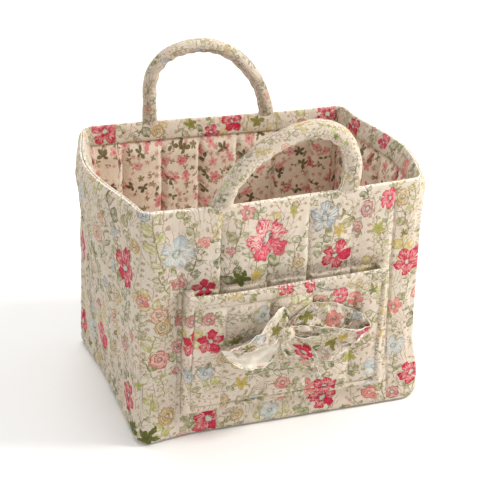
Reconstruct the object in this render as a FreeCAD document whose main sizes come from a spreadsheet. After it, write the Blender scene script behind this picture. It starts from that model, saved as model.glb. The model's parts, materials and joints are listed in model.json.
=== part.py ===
"""Open quilted fabric sewing box: layered walls, a turned-over rim, two stuffed handles, a patch pocket and a bow.

Millimetres. The origin is the middle of the base's underside, +X runs to the right along the front,
+Y to the back and +Z up.
"""
import FreeCAD, Part
import math
import os
import Sketcher

Vector = FreeCAD.Vector

SIZES = {
    "height": 225,                # table to rim
    "base_half_width": 136,
    "base_half_depth": 103,
    "rim_half_width": 134,        # at the corners, before the soft walls bow outward
    "rim_half_depth": 101,
    "corner_radius": 22,
    "bow_side": 13,               # how far the middle of the left and right rims bows out
    "bow_front": 6,
    "bow_back": 4,
    "outer_thickness": 4,         # quilted printed cotton
    "board_inset": 5.3,
    "board_thickness": 1.6,
    "lining_inset": 7.1,
    "wall_thickness": 10,
    "layer_gap": 0.2,
    "base_board_top": 6.2,
    "base_lining_top": 9.8,
    "board_top": 221,
    "hem_bottom": 208.2,
    "hem_fold": 221.2,            # underside of the cloth that turns over the rim
    "tab_bottom": 196,
    "tab_top": 230,
    "tab_inset": 4.2,
    "tab_thickness": 0.8,
    "tab_half_width": 11,
    "hinge_height": 233,
    "tongue_start": 233.4,
    "tongue_flat": 243,
    "tube_start": 250,
    "tongue_lap": 3,              # how far a slanting tube is let into its flat end
    "tongue_half_width": 10,
    "tongue_half_thickness": 1.2,
    "front_tube_radius": 8,
    "back_tube_radius": 6.5,
    "cover_thickness": 1.4,
    "filling_clearance": 0.2,
    "front_hinge_y": -100.8,
    "back_hinge_y": 99.3,
    "front_leg_right": 58,
    "front_apex_x": 24,
    "front_arch_radius": 90,
    "front_apex_height": 286.5,
    "back_leg_left": -66,
    "back_apex_x": -28,
    "back_arch_radius": 82,
    "back_apex_height": 296,
    "pocket_half_width": 88,
    "pocket_bottom_height": 33,
    "pocket_panel_top": 141,
    "pocket_mouth_height": 151,
    "pocket_foot_gap": 1.5,
    "pocket_mouth_gap": 10.5,
    "pocket_thickness": 4,
    "pocket_hem_extra": 0.6,
    "pocket_lining_thickness": 0.8,
    "pocket_side_width": 7,
    "pocket_strip_height": 6,
    "bow_plane_y": -120.7,        # back of the bow, at the pocket's mouth height
    "bow_tilt": 5.5,
    "bow_loop_thickness": 7,
    "bow_knot_thickness": 11,
    "bow_tail_thickness": 3.5,
}

doc = FreeCAD.newDocument("sewing_box")
sheet = doc.addObject("Spreadsheet::Sheet", "sheet")
for row, (alias, size) in enumerate(SIZES.items(), start=1):
    sheet.set("A%d" % row, alias)
    sheet.set("B%d" % row, str(size))
    sheet.setAlias("B%d" % row, alias)
doc.recompute()

parts = []


def value(expression):
    """The number that an expression on the sheet gives."""
    result = sheet.evalExpression(str(expression))
    return float(getattr(result, "Value", result))


def new_body(label):
    body = doc.addObject("PartDesign::Body", label)
    body.Label = label
    parts.append(body)
    return body


def origin_plane(body, role):
    return next(item for item in body.Origin.OriginFeatures if item.Role == role)


def new_sketch(body, name, role="XY_Plane", height=None):
    """A sketch on one of the body's origin planes, lifted along its normal by an expression."""
    sketch = body.newObject("Sketcher::SketchObject", name)
    sketch.AttachmentSupport = [(origin_plane(body, role), "")]
    sketch.MapMode = "FlatFace"
    if height is not None:
        sketch.setExpression("AttachmentOffset.Base.z", str(height))
    return sketch


def bind(sketch, constraint, expression):
    index = sketch.addConstraint(constraint)
    sketch.setExpression("Constraints[%d]" % index, str(expression))


def arc_between(start, end, radius, side):
    """Arc of a given radius; side 1 bulges to the right of the way from start to end, -1 to the left."""
    chord = end - start
    rise = radius - math.sqrt(radius ** 2 - (chord.Length / 2) ** 2)
    normal = Vector(chord.y, -chord.x, 0).normalize()
    return Part.Arc(start, (start + end) * 0.5 + normal * rise * side, end)


def draw_path(sketch, points, arcs=None, closed=True):
    """Edges through points, each a pair of expressions; arcs gives an edge's (radius, side) by its number."""
    arcs = arcs or {}
    spots = [Vector(value(across), value(along), 0) for across, along in points]
    count = len(points) if closed else len(points) - 1
    ends = []
    for number in range(count):
        start, end = spots[number], spots[(number + 1) % len(spots)]
        if number in arcs:
            radius, side = arcs[number]
            edge = sketch.addGeometry(arc_between(start, end, value(radius), side), False)
            bind(sketch, Sketcher.Constraint("Radius", edge, value(radius)), radius)
        else:
            edge = sketch.addGeometry(Part.LineSegment(start, end), False)
        forward = (sketch.getPoint(edge, 1) - start).Length < (sketch.getPoint(edge, 2) - start).Length
        ends.append((edge, 1, 2) if forward else (edge, 2, 1))
    for number in range(count if closed else count - 1):
        edge, _, last = ends[number]
        following, first, _ = ends[(number + 1) % count]
        sketch.addConstraint(Sketcher.Constraint("Coincident", edge, last, following, first))
    for number, (across, along) in enumerate(points):
        edge, first, last = ends[min(number, count - 1)]
        vertex = first if number < count else last
        spot = spots[number]
        bind(sketch, Sketcher.Constraint("DistanceX", -1, 1, edge, vertex, spot.x), across)
        bind(sketch, Sketcher.Constraint("DistanceY", -1, 1, edge, vertex, spot.y), along)


def add_loft(body, sketches):
    feature = body.newObject("PartDesign::AdditiveLoft", body.Label + "_loft")
    feature.Profile = sketches[0]
    feature.Sections = sketches[1:]
    feature.Ruled = True


def add_pad(body, sketch, length):
    feature = body.newObject("PartDesign::Pad", body.Label + "_pad")
    feature.Profile = sketch
    feature.Length = value(length)
    feature.setExpression("Length", str(length))


# ---------------------------------------------------------------- walls

def between(base, rim, level):
    """A size that runs evenly from the base to the rim."""
    return "(sheet.%s + (sheet.%s - sheet.%s) * %s / sheet.height)" % (base, rim, base, level)


WIDTH = ("base_half_width", "rim_half_width")
DEPTH = ("base_half_depth", "rim_half_depth")
SIDES = {
    # side: (half length along the wall, distance outward, bow, (along, outward) to (x, y))
    "front": (WIDTH, DEPTH, "bow_front", lambda along, out: (along, "-(%s)" % out)),
    "right": (DEPTH, WIDTH, "bow_side", lambda along, out: (out, along)),
    "back": (WIDTH, DEPTH, "bow_back", lambda along, out: ("-(%s)" % along, out)),
    "left": (DEPTH, WIDTH, "bow_side", lambda along, out: ("-(%s)" % out, "-(%s)" % along)),
}


def draw_wall_section(sketch, side, outer_inset, inner_inset, level, bowed):
    """Plan of one wall layer at a level, with half of each rounded corner, mitred at 45 degrees."""
    along_names, out_names, bow_name, place = SIDES[side]
    straight = "(%s - sheet.corner_radius)" % between(*along_names, level)
    centre = "(%s - sheet.corner_radius)" % between(*out_names, level)
    outer = "(sheet.corner_radius - %s)" % outer_inset
    inner = "(sheet.corner_radius - %s)" % inner_inset
    diagonal = "cos(45)"
    half = [
        ("%s + %s * %s" % (straight, outer, diagonal), "%s + %s * %s" % (centre, outer, diagonal)),
        (straight, "%s + %s" % (centre, outer)),
        (straight, "%s + %s" % (centre, inner)),
        ("%s + %s * %s" % (straight, inner, diagonal), "%s + %s * %s" % (centre, inner, diagonal)),
    ]
    far, near, near_inner, far_inner = half
    mirrored = [("-(%s)" % along, out) for along, out in half]
    outline = [mirrored[0], mirrored[1], near, far, far_inner, near_inner, mirrored[2], mirrored[3]]
    arcs = {0: (outer, 1), 2: (outer, 1), 4: (inner, -1), 6: (inner, -1)}
    if bowed:
        bow = "(sheet.%s * %s / sheet.height)" % (bow_name, level)
        radius = "(%s ^ 2 + %s ^ 2) / (2 * %s)" % (straight, bow, bow)
        arcs[1] = (radius, 1)
        arcs[5] = (radius, -1)
    draw_path(sketch, [place(*point) for point in outline], arcs)


def wall_layer(label, side, outer_inset, inner_inset, levels, body=None):
    """A layer of one wall, ruled between two levels; the lowest level of a full-height layer is straight."""
    body = body or new_body(label)
    sketches = []
    for number, level in enumerate(levels):
        sketch = new_sketch(body, "%s_section_%d" % (label, number), height=level)
        straight_foot = value(level) < value("sheet.base_lining_top + 1")
        draw_wall_section(sketch, side, outer_inset, inner_inset, level, bowed=not straight_foot)
        sketches.append(sketch)
    add_loft(body, sketches)
    return body


def base_layer(label, inset, bottom, top):
    body = new_body(label)
    sketch = new_sketch(body, label + "_outline", height=bottom)
    radius = "(sheet.corner_radius - %s)" % inset
    wide = "(sheet.base_half_width - %s)" % inset
    deep = "(sheet.base_half_depth - %s)" % inset
    across = "(%s - %s)" % (wide, radius)
    along = "(%s - %s)" % (deep, radius)
    outline = [(across, "-" + deep), (wide, "-" + along), (wide, along), (across, deep),
               ("-" + across, deep), ("-" + wide, along), ("-" + wide, "-" + along), ("-" + across, "-" + deep)]
    draw_path(sketch, outline, {corner: (radius, 1) for corner in (0, 2, 4, 6)})
    add_pad(body, sketch, "%s - %s" % (top, bottom))


base_layer("base_panel", "0", "0", "sheet.outer_thickness")
base_layer("base_board", "(sheet.outer_thickness + sheet.layer_gap)",
           "(sheet.outer_thickness + sheet.layer_gap)", "sheet.base_board_top")
base_layer("base_lining", "sheet.lining_inset", "(sheet.base_board_top + sheet.layer_gap / 2)",
           "sheet.base_lining_top")
for wall in SIDES:
    wall_layer(wall + "_panel", wall, "0", "sheet.outer_thickness", ["sheet.outer_thickness", "sheet.height"])
    wall_layer(wall + "_board", wall, "sheet.board_inset", "(sheet.board_inset + sheet.board_thickness)",
               ["(sheet.base_board_top + sheet.layer_gap / 2)", "sheet.board_top"])
    wall_layer(wall + "_lining", wall, "sheet.lining_inset", "sheet.wall_thickness",
               ["(sheet.base_lining_top + sheet.layer_gap)", "(sheet.hem_bottom - sheet.layer_gap)"])
    facing = wall_layer(wall + "_hem", wall, "sheet.lining_inset", "sheet.wall_thickness",
                        ["sheet.hem_bottom", "sheet.hem_fold"])
    wall_layer(wall + "_hem", wall, "sheet.board_inset", "sheet.wall_thickness",
               ["sheet.hem_fold", "sheet.height"], body=facing)


# ---------------------------------------------------------------- handles

def draw_ellipse(sketch, centre_x, centre_y, half_width, half_thickness):
    spot = Vector(value(centre_x), value(centre_y), 0)
    major = value(half_width)
    minor = value(half_thickness)
    edge = sketch.addGeometry(Part.Ellipse(spot + Vector(major, 0, 0), spot + Vector(0, minor, 0), spot), False)
    sketch.exposeInternalGeometry(edge)
    bind(sketch, Sketcher.Constraint("DistanceX", -1, 1, edge, 3, spot.x), centre_x)
    bind(sketch, Sketcher.Constraint("DistanceY", -1, 1, edge, 3, spot.y), centre_y)
    major_axis, minor_axis = edge + 1, edge + 2
    bind(sketch, Sketcher.Constraint("DistanceX", major_axis, 2, major_axis, 1, 2 * major), "2 * %s" % half_width)
    sketch.addConstraint(Sketcher.Constraint("Horizontal", major_axis))
    length = Sketcher.Constraint("Distance", minor_axis, 1, minor_axis, 2, 2 * minor)
    bind(sketch, length, "2 * %s" % half_thickness)


def draw_circle(sketch, centre_x, centre_y, radius):
    spot = Vector(value(centre_x), value(centre_y), 0)
    edge = sketch.addGeometry(Part.Circle(spot, Vector(0, 0, 1), value(radius)), False)
    bind(sketch, Sketcher.Constraint("DistanceX", -1, 1, edge, 3, spot.x), centre_x)
    bind(sketch, Sketcher.Constraint("DistanceY", -1, 1, edge, 3, spot.y), centre_y)
    bind(sketch, Sketcher.Constraint("Radius", edge, value(radius)), radius)


def long_arch_x(handle, level):
    """X of the wide arc of a handle's arch at a level, for the side away from the straight leg."""
    side, apex_x, apex_height, arch_radius, _ = handle
    drop = "(%s - (%s - %s))" % (level, apex_height, arch_radius)
    return "(%s %s sqrt(%s ^ 2 - %s ^ 2))" % (apex_x, side, arch_radius, drop)


def pipe(body, kind, handle, hinge_y, radius):
    """Tube along the arch: a straight leg, a tight arc up to the apex and a wide arc down to the other foot."""
    side, apex_x, apex_height, arch_radius, leg_x = handle
    suffix = kind.lower()
    profile = new_sketch(body, "%s_%s_profile" % (body.Label, suffix), height="sheet.tube_start")
    draw_circle(profile, leg_x, hinge_y, radius)
    path = new_sketch(body, "%s_%s_path" % (body.Label, suffix), "XZ_Plane", height="-(%s)" % hinge_y)
    tight = "abs(%s - %s)" % (leg_x, apex_x)
    points = [
        (leg_x, "sheet.tube_start"),
        (leg_x, "(%s - %s)" % (apex_height, tight)),
        (apex_x, apex_height),
        (long_arch_x(handle, "sheet.tube_start"), "sheet.tube_start"),
    ]
    turn = 1 if side == "-" else -1
    draw_path(path, points, {1: (tight, turn), 2: (arch_radius, turn)}, closed=False)
    feature = body.newObject("PartDesign::%sPipe" % kind, body.Label + "_" + suffix + "_pipe")
    feature.Profile = profile
    feature.Spine = path


def handle_cover(label, handle, hinge_y, radius):
    body = new_body(label)
    pipe(body, "Additive", handle, hinge_y, radius)
    feet = {"leg": lambda level: handle[4], "arch": lambda level: long_arch_x(handle, level)}
    for foot, position in feet.items():
        sections = []
        for level in ("sheet.tongue_start", "sheet.tongue_flat"):
            sketch = new_sketch(body, "%s_%s_%s" % (label, foot, level.split("_")[-1]), height=level)
            draw_ellipse(sketch, position(level), hinge_y, "sheet.tongue_half_width", "sheet.tongue_half_thickness")
            sections.append(sketch)
        top_level = "sheet.tube_start" if foot == "leg" else "(sheet.tube_start + sheet.tongue_lap)"
        top = new_sketch(body, "%s_%s_top" % (label, foot), height=top_level)
        draw_circle(top, position(top_level), hinge_y, radius)
        sections.append(top)
        add_loft(body, sections)
    pipe(body, "Subtractive", handle, hinge_y, "(%s - sheet.cover_thickness)" % radius)


def handle_filling(label, handle, hinge_y, radius):
    body = new_body(label)
    inner = "(%s - sheet.cover_thickness - sheet.filling_clearance)" % radius
    pipe(body, "Additive", handle, hinge_y, inner)


def handle_tab(label, side, centre_x):
    """Flattened end of a handle's cloth, held between the outer panel and the rim facing."""
    layer = new_body(label + "_layer")
    parts.remove(layer)
    wall_layer(label + "_layer", side, "sheet.tab_inset", "(sheet.tab_inset + sheet.tab_thickness)",
               ["sheet.tab_bottom", "sheet.tab_top"], body=layer)
    block = doc.addObject("Part::Box", label + "_width")
    block.setExpression("Length", "2 * sheet.tab_half_width")
    block.setExpression("Width", "2 * sheet.base_half_depth")
    block.setExpression("Height", "sheet.height")
    block.setExpression("Placement.Base.x", "%s - sheet.tab_half_width" % centre_x)
    facing = "-2 * sheet.base_half_depth" if side == "front" else "0"
    block.setExpression("Placement.Base.y", facing)
    block.setExpression("Placement.Base.z", "sheet.tab_bottom - 1")
    common = doc.addObject("Part::Common", label)
    common.Base = layer
    common.Tool = block
    common.Label = label
    parts.append(common)


# side of the apex on which the wide arc comes down, apex x, apex height, wide arc's radius, x of the straight leg
FRONT_HANDLE = ("-", "sheet.front_apex_x", "sheet.front_apex_height", "sheet.front_arch_radius",
                "sheet.front_leg_right")
BACK_HANDLE = ("+", "sheet.back_apex_x", "sheet.back_apex_height", "sheet.back_arch_radius",
               "sheet.back_leg_left")
handle_cover("front_handle_cover", FRONT_HANDLE, "sheet.front_hinge_y", "sheet.front_tube_radius")
handle_filling("front_handle_filling", FRONT_HANDLE, "sheet.front_hinge_y", "sheet.front_tube_radius")
handle_cover("back_handle_cover", BACK_HANDLE, "sheet.back_hinge_y", "sheet.back_tube_radius")
handle_filling("back_handle_filling", BACK_HANDLE, "sheet.back_hinge_y", "sheet.back_tube_radius")
handle_tab("front_handle_tab_left", "front", long_arch_x(FRONT_HANDLE, "sheet.hinge_height"))
handle_tab("front_handle_tab_right", "front", "sheet.front_leg_right")
handle_tab("back_handle_tab_left", "back", "sheet.back_leg_left")
handle_tab("back_handle_tab_right", "back", long_arch_x(BACK_HANDLE, "sheet.hinge_height"))


# ---------------------------------------------------------------- pocket

def front_face(level, across):
    """Distance of the front wall's outer face from the middle plane, at a level and a distance across."""
    straight = "(%s - sheet.corner_radius)" % between(*WIDTH, level)
    bow = "sheet.bow_front * %s / sheet.height * (1 - (%s / %s) ^ 2)" % (level, across, straight)
    return "(%s + %s)" % (between(*DEPTH, level), bow)


def pocket_gap(level):
    """Space behind the pocket, which opens from its foot to its mouth."""
    rise = "(%s - sheet.pocket_bottom_height) / (sheet.pocket_mouth_height - sheet.pocket_bottom_height)" % level
    return "(sheet.pocket_foot_gap + (sheet.pocket_mouth_gap - sheet.pocket_foot_gap) * %s)" % rise


def pocket_layer(label, inner, outer, levels):
    """A layer of the pocket between two distances from the back of its panel."""
    body = new_body(label)
    sketches = []
    for number, level in enumerate(levels):
        sketch = new_sketch(body, "%s_section_%d" % (label, number), height=level)
        edge = front_face(level, "sheet.pocket_half_width")
        rise = "(%s - %s)" % (front_face(level, "0"), edge)
        radius = "(sheet.pocket_half_width ^ 2 + %s ^ 2) / (2 * %s)" % (rise, rise)
        near = "-(%s + %s + %s)" % (edge, pocket_gap(level), inner)
        away = "-(%s + %s + %s)" % (edge, pocket_gap(level), outer)
        half = "sheet.pocket_half_width"
        points = [("-" + half, away), (half, away), (half, near), ("-" + half, near)]
        draw_path(sketch, points, {0: (radius, 1), 2: (radius, -1)})
        sketches.append(sketch)
    add_loft(body, sketches)


def pocket_side(label, direction):
    """Folded, stitched edge that closes the pocket's side against the wall."""
    body = new_body(label)
    sketches = []
    for number, level in enumerate(["sheet.pocket_bottom_height", "sheet.pocket_mouth_height"]):
        sketch = new_sketch(body, "%s_section_%d" % (label, number), height=level)
        near_x = "(%s * (sheet.pocket_half_width + sheet.layer_gap / 2))" % direction
        far_x = "(%s * (sheet.pocket_half_width + sheet.pocket_side_width))" % direction
        wall = "-(%s + sheet.layer_gap)" % front_face(level, "sheet.pocket_half_width")
        edge = front_face(level, "sheet.pocket_half_width")
        face = "-(%s + %s + sheet.pocket_thickness)" % (edge, pocket_gap(level))
        points = [(near_x, face), (far_x, face), (far_x, wall), (near_x, wall)]
        draw_path(sketch, points)
        sketches.append(sketch)
    add_loft(body, sketches)


def pocket_foot(label):
    """Seam allowance turned under along the pocket's foot."""
    body = new_body(label)
    sketch = new_sketch(body, label + "_section", height="sheet.pocket_bottom_height - sheet.pocket_strip_height")
    wall = "-(%s + sheet.layer_gap)" % front_face("sheet.pocket_bottom_height", "0")
    face = "(%s - sheet.pocket_thickness - sheet.pocket_foot_gap)" % wall
    far_x = "(sheet.pocket_half_width + sheet.pocket_side_width)"
    draw_path(sketch, [("-" + far_x, face), (far_x, face), (far_x, wall), ("-" + far_x, wall)])
    add_pad(body, sketch, "sheet.pocket_strip_height - sheet.layer_gap")


pocket_layer("pocket_panel", "0", "sheet.pocket_thickness", ["sheet.pocket_bottom_height", "sheet.pocket_panel_top"])
pocket_layer("pocket_lining", "(-sheet.pocket_lining_thickness - sheet.layer_gap)", "(-sheet.layer_gap)",
             ["sheet.pocket_bottom_height", "sheet.pocket_panel_top"])
pocket_layer("pocket_hem", "(-sheet.pocket_lining_thickness - sheet.layer_gap)",
             "(sheet.pocket_thickness + sheet.pocket_hem_extra)",
             ["(sheet.pocket_panel_top + sheet.layer_gap / 2)", "sheet.pocket_mouth_height"])
pocket_side("pocket_side_left", -1)
pocket_side("pocket_side_right", 1)
pocket_foot("pocket_bottom")


# ---------------------------------------------------------------- bow

# Outlines in the bow's own plane: x across, then height.
BOW_OUTLINES = {
    "bow_knot": [(-14, 98), (1, 96), (4, 106), (0, 116), (-11, 117), (-16, 107)],
    "bow_loop_left": [(-17, 112), (-13, 130), (-30, 128), (-48, 112), (-66, 94), (-62, 82), (-44, 72), (-18, 78),
                      (-17, 96)],
    "bow_loop_right": [(6, 99), (28, 94), (50, 98), (72, 103), (79, 108), (60, 120), (40, 126), (14, 126), (5, 112)],
    "bow_tail_left": [(-6, 94), (-8, 84), (0, 70), (12, 58), (24, 50), (30, 58), (18, 68), (13, 84), (8, 94)],
    "bow_tail_right": [(14, 93), (15, 84), (21, 68), (31, 61), (42, 72), (56, 80), (75, 91), (77, 100), (72, 101),
                       (50, 96), (28, 92)],
}
BOW_THICKNESS = {
    "bow_knot": "sheet.bow_knot_thickness",
    "bow_loop_left": "sheet.bow_loop_thickness",
    "bow_loop_right": "sheet.bow_loop_thickness",
    "bow_tail_left": "sheet.bow_tail_thickness",
    "bow_tail_right": "sheet.bow_tail_thickness",
}


def bow_piece(label):
    """A flat-backed piece of the bow, tilted with the pocket's face about the pocket's mouth."""
    body = new_body(label)
    sketch = new_sketch(body, label + "_outline", "XZ_Plane")
    points = [(x, "(%s - sheet.pocket_mouth_height)" % up) for x, up in BOW_OUTLINES[label]]
    draw_path(sketch, points)
    add_pad(body, sketch, BOW_THICKNESS[label])
    body.setExpression("Placement.Base.y", "sheet.bow_plane_y")
    body.setExpression("Placement.Base.z", "sheet.pocket_mouth_height")
    body.Placement.Rotation = FreeCAD.Rotation(Vector(1, 0, 0), value("sheet.bow_tilt"))
    body.setExpression("Placement.Rotation.Angle", "sheet.bow_tilt")


for piece in BOW_OUTLINES:
    bow_piece(piece)


# ---------------------------------------------------------------- checks and export

doc.recompute()
for item in doc.Objects:
    if "Invalid" in item.State or "Error" in item.State:
        raise RuntimeError("%s failed: %s" % (item.Label, item.State))
for part in parts:
    if part.Shape.isNull() or not part.Shape.isValid() or part.Shape.Volume <= 0:
        raise RuntimeError("%s has no valid shape" % part.Label)

os.makedirs("parts", exist_ok=True)
for part in parts:
    part.Shape.exportStep("parts/%s.step" % part.Label)
    box = part.Shape.BoundBox
    print("%-24s solids %d volume %10.1f  x %7.1f %7.1f  y %7.1f %7.1f  z %6.1f %6.1f" % (
        part.Label, len(part.Shape.Solids), part.Shape.Volume,
        box.XMin, box.XMax, box.YMin, box.YMax, box.ZMin, box.ZMax))
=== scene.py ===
"""Looks of an open quilted fabric sewing box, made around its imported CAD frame.

Lengths in this script are millimetres until a mesh is made. Every cloth piece is a loft of closed rings
through one settled shape of the box, so neighbouring pieces bow and sag together. The flower print is
drawn by shader nodes in each motif's own coordinates, which the meshes carry as attributes.
"""
import json
import math
from functools import partialmethod

import bpy
import numpy as np
from mathutils import Matrix, Vector


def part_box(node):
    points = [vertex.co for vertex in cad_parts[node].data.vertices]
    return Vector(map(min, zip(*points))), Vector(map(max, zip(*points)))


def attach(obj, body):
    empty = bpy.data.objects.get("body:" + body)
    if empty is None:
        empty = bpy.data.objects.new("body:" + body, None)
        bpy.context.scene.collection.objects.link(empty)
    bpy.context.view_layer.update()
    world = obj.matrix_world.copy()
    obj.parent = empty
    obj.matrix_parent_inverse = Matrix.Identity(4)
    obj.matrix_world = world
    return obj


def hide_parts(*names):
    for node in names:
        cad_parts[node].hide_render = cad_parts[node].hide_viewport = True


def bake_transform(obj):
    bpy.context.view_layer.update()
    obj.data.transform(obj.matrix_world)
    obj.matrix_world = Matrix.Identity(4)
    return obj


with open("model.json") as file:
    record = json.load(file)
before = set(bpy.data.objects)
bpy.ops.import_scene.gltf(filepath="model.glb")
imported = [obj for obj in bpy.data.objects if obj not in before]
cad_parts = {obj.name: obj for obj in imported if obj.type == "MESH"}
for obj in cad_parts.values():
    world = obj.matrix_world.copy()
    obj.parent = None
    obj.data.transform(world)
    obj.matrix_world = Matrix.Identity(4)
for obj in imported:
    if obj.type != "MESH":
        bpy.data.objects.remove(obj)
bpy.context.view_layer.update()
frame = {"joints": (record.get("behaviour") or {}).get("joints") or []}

MM = 0.001
TAU = 2 * math.pi

# ---------------------------------------------------------------- sizes from the frame

BASE_HALF_WIDTH, BASE_HALF_DEPTH = (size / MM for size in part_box("base_panel")[1][:2])
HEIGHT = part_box("front_panel")[1][2] / MM
HINGE_HEIGHT = frame["joints"][0]["pos_m"][2] / MM
POCKET_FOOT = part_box("pocket_panel")[0][2] / MM
POCKET_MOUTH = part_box("pocket_hem")[1][2] / MM
POCKET_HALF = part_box("pocket_panel")[1][0] / MM
RIM_TAPER = 2.0
CORNER = 15.0
OUTER_THICKNESS = 3.9
LINING_FACE = 9.6
HEM_FOOT = 207.5
SIDE_NAMES = ("left", "front", "right", "back")
SIDE_AXES = {"front": ((1, 0), (0, -1)), "right": ((0, 1), (1, 0)),
             "back": ((-1, 0), (0, 1)), "left": ((0, -1), (-1, 0))}
# Distance of each sewn channel from the middle of its wall.
QUILT_SEAMS = {
    "front": (-98, -61, -17, 21, 63, 103), "right": (-78, -38, 2, 42, 80),
    "back": (-100, -60, -20, 20, 60, 100), "left": (-80, -41, -2, 38, 76),
}
LINING_SEAMS = {
    "front": (-95, -57, -19, 19, 57, 95), "right": (-66, -28, 10, 48),
    "back": (-96, -58, -20, 18, 56, 94), "left": (-60, -21, 18, 56),
}
# The outer seams that are sewn as tucks, and the cloth lost in each, where the print jumps.
DEEP_SEAMS = {"front": (-61, 21, 103), "right": (-38, 42), "back": (-60, 20, 100), "left": (-41, 38)}
DEEP_TUCK = 7.0
POCKET_SEAMS = (-58, -18, 22, 63)
POCKET_THICKNESS = 4.0
POCKET_GAPS = (1.5, 10.5)    # space behind the pocket at its foot and at its mouth


# ---------------------------------------------------------------- the settled shape

def bell(value):
    """One smooth hump from -1 to 1."""
    return np.cos(np.clip(value, -1, 1) * math.pi / 2) ** 2


def ripple(across, along, seed):
    """Smooth, seeded unevenness between about -1 and 1."""
    chooser = np.random.default_rng(seed)
    total = 0
    for octave in (1.0, 1.7, 2.9):
        turn, phase, other = chooser.uniform(0, TAU, 3)
        direction = across * math.cos(turn) + along * math.sin(turn)
        total = total + np.sin(direction * octave * TAU + phase) * np.cos(
            (along * math.cos(turn) - across * math.sin(turn)) * octave * 0.8 * TAU + other) / octave
    return total / 1.6


# The outward bows of the walls: greatest depth, its x or y, and half its width.
LEFT_BOW, RIGHT_BOW, BACK_BOW = (23, 14, 112), (20, -18, 102), (4, 0, 125)
FRONT_BOWS = ((7, -52, 88), (3, 40, 90))
RIM_SKEW = 4.0           # how far the rim is turned against the base
RIM_SAG = 1.3
FOOT_SPREAD = (1.0, 7.0)     # how far the front left foot stands out, across and forward


def hump(value, depth, middle, half):
    return depth * bell((value - middle) / half)


def settle(points):
    """The box as it stands: soft walls that bow out towards the rim, and a rim that isn't quite level."""
    x, y, z = points[..., 0], points[..., 1], points[..., 2]
    lift = np.clip(z / HEIGHT, 0, 1.3)
    near_side = np.clip(np.abs(x) / BASE_HALF_WIDTH, 0, 1.1) ** 3
    near_front = np.clip(np.abs(y) / BASE_HALF_DEPTH, 0, 1.1) ** 3
    left_bow = hump(y, *LEFT_BOW) * lift ** 1.2 + hump(y, 6, 100, 90) * hump(z, 1, 40, 150)
    right_bow = hump(y, *RIGHT_BOW) * lift ** 1.5 + hump(y, 8, -90, 110) * hump(z, 1, 22, 55)
    front_bow = sum(hump(x, *bow) for bow in FRONT_BOWS)
    back_bow = hump(x, *BACK_BOW)
    side = np.where(x < 0, left_bow, right_bow) * near_side
    face = np.where(y < 0, front_bow, back_bow) * near_front * lift ** 1.1
    skew = -RIM_SKEW * x / BASE_HALF_WIDTH * y / BASE_HALF_DEPTH * lift
    foot = hump(x, 1, -BASE_HALF_WIDTH, 60) * hump(y, 1, -BASE_HALF_DEPTH, 60) * hump(z, 1, 0, 50)
    sag = lift ** 3 * RIM_SAG * np.sin(x / 47 + 0.8) * np.cos(y / 39 + 0.5)
    return np.stack([x + np.sign(x) * side - FOOT_SPREAD[0] * foot,
                     y + np.sign(y) * face + skew - FOOT_SPREAD[1] * foot,
                     z + sag * np.clip(z / 60, 0, 1)], -1)


def wall_reach(side, level):
    """Half the length of a wall, from its middle to the middle of its corner."""
    taper = RIM_TAPER * level / HEIGHT
    half = (BASE_HALF_WIDTH if side in ("front", "back") else BASE_HALF_DEPTH) - taper
    return half - CORNER * (1 - math.pi / 4)


def wall(side, along, level, inset):
    """Points of a wall. along is the distance from its middle, inset the depth behind its outer face."""
    along, level, inset = np.broadcast_arrays(*(np.asarray(item, float) for item in (along, level, inset)))
    along = along * wall_reach(side, level) / wall_reach(side, HEIGHT / 2)
    taper = RIM_TAPER * level / HEIGHT
    sizes = (BASE_HALF_WIDTH - taper, BASE_HALF_DEPTH - taper)
    half_along, half_out = sizes if side in ("front", "back") else sizes[::-1]
    straight = half_along - CORNER
    reach = np.abs(along)
    bend = np.clip((reach - straight) / CORNER, 0, math.pi / 4)
    sideways = np.sign(along) * (np.minimum(reach, straight) + (CORNER - inset) * np.sin(bend))
    outward = half_out - CORNER + (CORNER - inset) * np.cos(bend)
    (ax, ay), (ox, oy) = SIDE_AXES[side]
    return settle(np.stack([sideways * ax + outward * ox, sideways * ay + outward * oy, level], -1))


def printed(side, along):
    """Distance along the printed cloth, which runs on round the corners and loses a fold in each tuck."""
    along = np.asarray(along, float)
    tucks = sum(np.where(along > seam, DEEP_TUCK, 0.0) for seam in DEEP_SEAMS[side])
    before = 0.0
    for other in SIDE_NAMES[:SIDE_NAMES.index(side)]:
        before += 2 * wall_reach(other, HEIGHT / 2) + DEEP_TUCK * len(DEEP_SEAMS[other])
    return before + wall_reach(side, HEIGHT / 2) + along + tucks


def pocket_gap(level):
    """Space between the wall and the pocket, which stands open at its mouth."""
    rise = np.clip((level - POCKET_FOOT) / (POCKET_MOUTH - POCKET_FOOT), -0.1, 1.1)
    return POCKET_GAPS[0] + (POCKET_GAPS[1] - POCKET_GAPS[0]) * rise


def on_pocket(points):
    """Points given by distance across, height and distance in front of the pocket's face."""
    across, level, out = points[..., 0], points[..., 1], points[..., 2]
    return wall("front", across, level, -(pocket_gap(level) + POCKET_THICKNESS + out))


# ---------------------------------------------------------------- meshes

def make_object(name, vertices, faces, material):
    mesh = bpy.data.meshes.new(name)
    mesh.from_pydata((np.asarray(vertices) * MM).tolist(), [], faces)
    mesh.materials.append(material)
    mesh.polygons.foreach_set("use_smooth", [True] * len(mesh.polygons))
    mesh.update()
    piece = bpy.data.objects.new(name, mesh)
    bpy.context.collection.objects.link(piece)
    return piece


def set_corner_vectors(mesh, name, values):
    attribute = mesh.attributes.new(name, "FLOAT_VECTOR", "CORNER")
    attribute.data.foreach_set("vector", np.ascontiguousarray(values, np.float32).ravel())


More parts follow.
